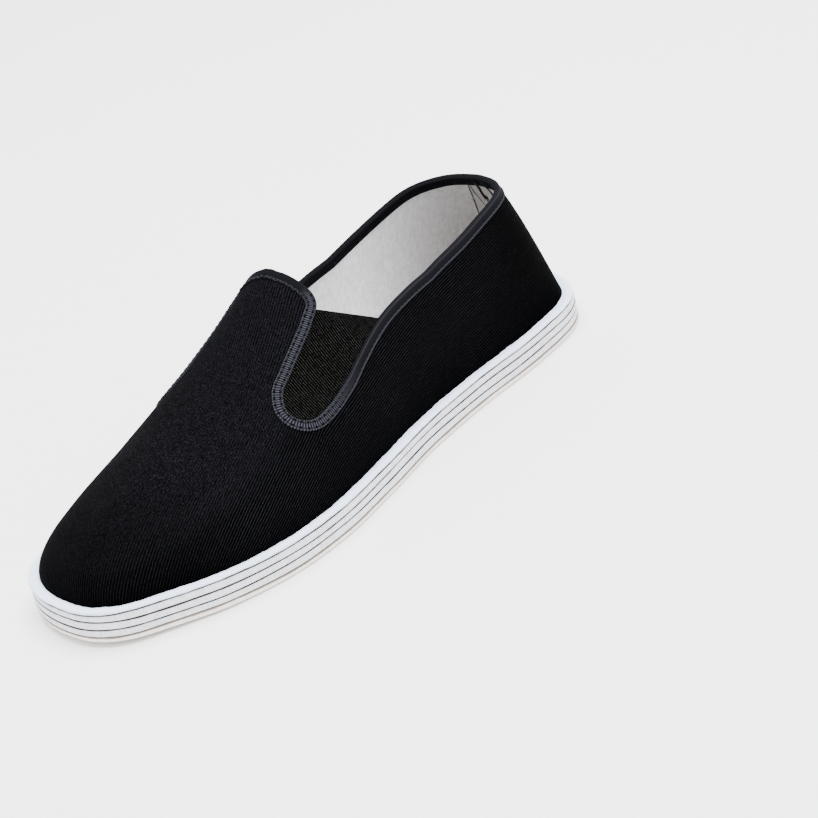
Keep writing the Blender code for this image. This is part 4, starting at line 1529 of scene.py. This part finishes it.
def tape_finish(band):
    """Black ribbed tape, bluer and lighter than the twill.

    Round the slots it has light rungs across it and dark holes at the ends of the
    stitches, the holes' shade painted in, and painted shade along its stitch rows. Elsewhere
    it has fine slanting ribs, brighter towards the fold as a painted highlight and dimmer past
    it as painted shade, and painted highlights on its fold and at its lower edge. A hole is
    where the place across is near a stitch row and the travel near the end of a stitch.
    """
    finish, tree, shader = new_finish("black_tape", 0.8, 0.03)
    rungs = mask(tree, "rungs")
    tongue = mask(tree, "tongue")
    ribs = ribs_on(tree, TAPE_RIB, -np.pi / 2, 0.3)
    slants = ribs_on(tree, 1.15 * TAPE_RIB, np.radians(-60), 0.6)
    lint = lint_on(tree)
    travel, across = parts_of(cloth_map(tree))
    pitch = band["travel"][-1] / band["stitches"]
    from_end = (0.5 - abs(sums("FRACT", travel / pitch) - 0.5)) * pitch
    holes, gutter_shade = [], []
    for row in STITCH_ROWS:
        aside = across + row * TAPE_LEG
        away = sums("SQRT", sums("POWER", aside, 2.0) + sums("POWER", from_end, 2.0))
        holes.append(ramp(away, 0.30 * MM, 0.60 * MM, 1.0, 0.0))
        # Painted shade along the stitch row, where the stitches pull the tape in
        gutter_shade.append(ramp(abs(aside), 0.15 * MM, 0.50 * MM, 0.8, 0.0))
    holes = sums("MAXIMUM", *holes) * rungs
    gutter_shade = sums("MAXIMUM", *gutter_shade) * ramp(rungs, 0.0, 1.0, 0.3, 1.0)

    def between(start, full, last, end):
        """1 from full to last and 0 outside start and end, all as shares of the leg."""
        rise = ramp(across, start * TAPE_LEG, full * TAPE_LEG)
        return rise * ramp(across, end * TAPE_LEG, last * TAPE_LEG)

    ladder = ramp(ribs["Ridge"], 0.45, 1.0)
    hatch = ramp(slants["Ridge"], 0.3, 1.0, 0.15, 1.0)
    # Painted highlight: the hatch grows brighter towards the fold; painted shade dims it past the fold
    hatch = hatch * ramp(across, -0.50 * TAPE_LEG, -0.10 * TAPE_LEG, 0.06, 0.15)
    hatch = hatch * ramp(across, 0.5 * MM, 1.6 * MM, 1.0, 0.3) * ramp(tongue, 0.0, 1.0, 1.0, 0.6)
    line = hatch + rungs * (ladder - hatch)
    colour = blend(line, (0.0016, 0.0016, 0.0022), (0.0400, 0.0405, 0.0520))
    colour = blend(gutter_shade, colour, (0.0015, 0.0015, 0.0020))
    # Painted highlights: a light line near the tape's lower edge and a fainter one on its fold
    edges = sums("MAXIMUM", between(-0.98, -0.94, -0.86, -0.80), between(-0.14, -0.06, 0.02, 0.10) * 0.45)
    edges = edges * ramp(tongue, 0.0, 1.0, 1.0, 0.1) * ramp(ribs["Ridge"], 0.2, 0.9, 0.38, 0.72)
    colour = blend(edges * ramp(rungs, 0.0, 1.0, 1.0, 0.5), colour, (0.042, 0.042, 0.052))
    colour = blend(ramp(lint["Fuzz"], 0.45, 0.8, 0.0, 0.4), colour, (0.0030, 0.0030, 0.0040))
    # Painted shade in the needle holes at the ends of the stitches
    colour = blend(holes, colour, (0.0003, 0.0003, 0.0003))
    cover(shader, colour, (line, 0.16 * MM), (lint["Fuzz"], 0.06 * MM), (1.0 - holes, 0.3 * MM))
    return finish


def thread_finish(name, low, high, twist, specular):
    """Twisted thread: strands slant round the stitch, and its ends are darker, a painted shade where it
    dips into the cloth.
    """
    finish, tree, shader = new_finish(name, 0.6, specular)
    along, turn = parts_of(cloth_map(tree))
    strand = abs(sums("SINE", along * twist + turn))
    # Painted shade at the thread's ends, where it goes into the cloth
    ends = ramp(abs(along), 0.82, 1.0) * 0.6
    colour = blend(ends, blend(strand, low, high), tuple(0.3 * part for part in low))
    cover(shader, colour, (strand, 0.10 * MM))
    return finish


def elastic_finish():
    """Warm black elastic: thin slanting ribs broken up by finer ones across them."""
    finish, tree, shader = new_finish("black_elastic", 0.85, 0.01)
    ribs = ribs_on(tree, ELASTIC_RIB, ELASTIC_TURN, 0.2)
    cross = ribs_on(tree, 0.8 * ELASTIC_RIB, ELASTIC_TURN + np.radians(75), 0.3)
    lint = lint_on(tree)
    line = ramp(ribs["Ridge"], 0.80, 1.0) * ramp(cross["Ridge"], 0.3, 1.0, 0.1, 1.0)
    line = line * ramp(lint["Fuzz"], 0.42, 0.60, 0.2, 1.7)
    colour = blend(line, (0.0001, 0.0001, 0.0001), (0.0310, 0.0306, 0.0285))
    cover(shader, colour, (line, 0.12 * MM), (lint["Fuzz"], 0.06 * MM))
    return finish


def pale_cotton(tree, base, shade, spacing):
    """Pale woven cotton: its colour, and the heights of its weave, fuzz and crimp.

    Streaks along the threads, crimps, blotches and fuzz each take it towards the shade.
    """
    cloth = cloth_map(tree)
    weave = use_group(tree, WEAVE, Cloth=cloth, Spacing=spacing)["Height"]
    lint = lint_on(tree)
    streak = noise(times_vector(cloth, (1.0, 0.12, 1.0)), 1.1 * MM, 3.0, 0.65)
    crimp = noise(object_place(tree), 2.2 * MM, 4.0, 0.7)
    colour = blend(ramp(weave, 0.1, 0.8), shade, base)
    for value, low, high, most in (
        (streak, 0.47, 0.64, 0.9),
        (crimp, 0.47, 0.60, 0.9),
        (lint["Tone"], 0.4, 0.75, 0.25),
        (lint["Fuzz"], 0.5, 0.8, 0.30),
    ):
        colour = blend(ramp(value, low, high, 0.0, most), colour, shade)
    return colour, weave, lint["Fuzz"], crimp


def layer_finish(name, base, shade, seam, quilt=None):
    """Pale cotton wrapped round a layer, with dark seams where layers meet, the painted shade of the gap
    between them, brownish on the cream cloth.

    A quilt is the colour of the cloth between the stitch rows underneath, and along the
    rows it is darker, a painted shade of the grooves that the stitches pull in.
    """
    finish, tree, shader = new_finish(name, 0.9, 0.2)
    colour, weave, fuzz, crimp = pale_cotton(tree, base, shade, 0.6 * MM)
    if quilt:
        row = mask(tree, "row")
        aside = abs(sums("FRACT", row + 0.5) - 0.5)
        # Painted shade along the stitch rows
        trough_shade = ramp(aside, 0.12, 0.27, 0.8, 0.0) * ramp(row, -0.5, -0.4)
        flat = blend(ramp(crimp, 0.40, 0.65, 0.0, 0.5), quilt, shade)
        flat = blend(trough_shade, flat, tuple(0.4 * part for part in quilt))
        colour = blend(ramp(row, -0.99, -0.9), colour, flat)
    # Painted shade of the gap at each edge of the layer, its border wobbled by noise
    seam_wobble = noise(object_place(tree), 6 * MM, 3.0)
    edge = abs(mask(tree, "level") * 2.0 - 1.0) + ramp(seam_wobble, 0.3, 0.7, -0.05, 0.05)
    colour = blend(ramp(edge, 0.73, 0.86, 0.0, 0.98), colour, seam)
    cover(shader, colour, (weave, 0.12 * MM), (fuzz, 0.08 * MM), (crimp, 0.25 * MM))
    return finish


def lining_finish():
    """Grey white cotton lining, whiter in front and darkened to a warm grey at the heel by painted shade.
    """
    finish, tree, shader = new_finish("grey_cotton", 0.9, 0.1)
    colour, weave, fuzz, crimp = pale_cotton(tree, (1.0, 0.99, 1.0), (0.69, 0.68, 0.69), 0.55 * MM)
    # Painted shade: darker and warmer towards the heel, where less light reaches inside
    heel_shade = blend(ramp(mask(tree, "station"), 0.02, 0.28), (0.28, 0.262, 0.24), (1.0, 1.0, 1.0))
    cover(shader, times_vector(colour, heel_shade), (weave, 0.08 * MM), (fuzz, 0.05 * MM), (crimp, 0.5 * MM))
    return finish


def welt_finish():
    """Bluish white tape: fine ribs across it, and a painted shadow line where it meets the layers."""
    finish, tree, shader = new_finish("white_tape", 0.8, 0.2)
    ribs = ribs_on(tree, WELT_RIB, -np.pi / 2, 0.0)
    lint = lint_on(tree)
    colour = blend(ramp(ribs["Ridge"], 0.1, 0.9), (0.44, 0.53, 0.82), (0.86, 0.93, 1.0))
    colour = blend(ramp(lint["Fuzz"], 0.45, 0.8, 0.0, 0.4), colour, (0.66, 0.72, 0.88))
    # Painted shadow where the welt tucks down onto the layers
    colour = blend(ramp(mask(tree, "level"), 0.05, 0.16, 0.92, 0.0), colour, (0.035, 0.035, 0.045))
    cover(shader, colour, (ribs["Ridge"], 0.08 * MM), (lint["Fuzz"], 0.06 * MM))
    return finish


def floor_finish():
    """Matte, nearly white studio floor with a very faint grain."""
    finish, tree, shader = new_finish("studio_floor", 0.9, 0.1)
    cover(shader, blend(noise(object_place(tree), 3 * MM), (0.93, 0.93, 0.93), (0.95, 0.95, 0.95)))
    return finish


# Studio

def make_camera():
    """Camera at the viewing angle, rolled about the line of sight."""
    level = np.cos(VIEW_ELEVATION)
    back = Vector((np.sin(VIEW_AZIMUTH) * level, -np.cos(VIEW_AZIMUTH) * level, np.sin(VIEW_ELEVATION)))
    right = (-back).cross(Vector((0, 0, 1))).normalized()
    over = right.cross(-back)
    turned_right = np.cos(VIEW_ROLL) * right + np.sin(VIEW_ROLL) * over
    turned_over = np.cos(VIEW_ROLL) * over - np.sin(VIEW_ROLL) * right
    lens = bpy.data.cameras.new("camera")
    lens.lens = VIEW_LENS
    lens.clip_start = VIEW_NEAR
    camera = bpy.data.objects.new("camera", lens)
    turn = Matrix((turned_right, turned_over, back)).transposed().to_4x4()
    camera.matrix_world = Matrix.Translation(VIEW_TARGET + VIEW_DISTANCE * back) @ turn
    bpy.context.scene.collection.objects.link(camera)
    bpy.context.scene.camera = camera


def make_light():
    """Large soft square light overhead, that faces the shoe."""
    lamp = bpy.data.lights.new("overhead", "AREA")
    lamp.size = LIGHT_SIZE
    lamp.energy = LIGHT_POWER
    holder = bpy.data.objects.new("overhead", lamp)
    holder.location = LIGHT_PLACE
    holder.rotation_euler = Vector(LIGHT_PLACE).to_track_quat("Z", "Y").to_euler()
    bpy.context.scene.collection.objects.link(holder)


def make_studio():
    """Floor, even white surroundings and the light overhead."""
    mesh = bpy.data.meshes.new("floor")
    corners = [(x * FLOOR_REACH, y * FLOOR_REACH, 0) for x, y in ((-1, -1), (1, -1), (1, 1), (-1, 1))]
    mesh.from_pydata(corners, [], [(0, 1, 2, 3)])
    mesh.materials.append(floor_finish())
    floor = bpy.data.objects.new("floor", mesh)
    bpy.context.scene.collection.objects.link(floor)
    world = bpy.data.worlds.new("studio")
    world.use_nodes = True
    shade = world.node_tree.nodes["Background"]
    shade.inputs["Color"].default_value = (0.95, 0.97, 1.0, 1.0)
    shade.inputs["Strength"].default_value = WORLD_STRENGTH
    bpy.context.scene.world = world
    make_light()


def main():
    """Makes every piece, then the camera, the floor and the light."""
    black_thread = thread_finish("black_thread", (0.0015, 0.0015, 0.002), (0.016, 0.016, 0.021), 6.0, 0.04)
    chain_thread = thread_finish("chain_thread", (0.003, 0.003, 0.004), (0.029, 0.029, 0.036), 6.0, 0.04)
    white_thread = thread_finish("white_thread", (0.80, 0.80, 0.80), (0.98, 0.98, 1.0), 5.0, 0.3)
    # Needle holes: dark colours that paint the holes' shade
    needle_hole_shade = thread_finish("needle_hole_shade", (0.05, 0.05, 0.06), (0.09, 0.09, 0.10), 2.0, 0.0)
    elastic = elastic_finish()
    lining = lining_finish()
    band = tape_frame()

    make_upper(twill_finish())
    make_lining(lining)
    make_heel_strip(lining)
    make_heel_threads(black_thread)
    make_tape(band, tape_finish(band))
    make_tape_stitches(band, black_thread)
    make_chain_stitches(band, chain_thread)
    make_elastic("elastic_outer", "gusset_outer", OUTER, elastic)
    make_elastic("elastic_inner", "gusset_inner", INNER, elastic)
    # The last colour of each layer finish paints the shade of the gaps between layers
    make_layers(layer_finish("white_cloth", (0.86, 0.86, 0.88), (0.60, 0.60, 0.63), (0.030, 0.027, 0.026)))
    make_welt(welt_finish())
    make_outsole(layer_finish("cream_cloth", (0.97, 0.93, 0.87), (0.80, 0.75, 0.67), (0.24, 0.19, 0.15),
                              quilt=(0.90, 0.81, 0.65)))
    make_sole_stitches(white_thread, needle_hole_shade)
    make_insole(lining)

    make_camera()
    make_studio()


main()
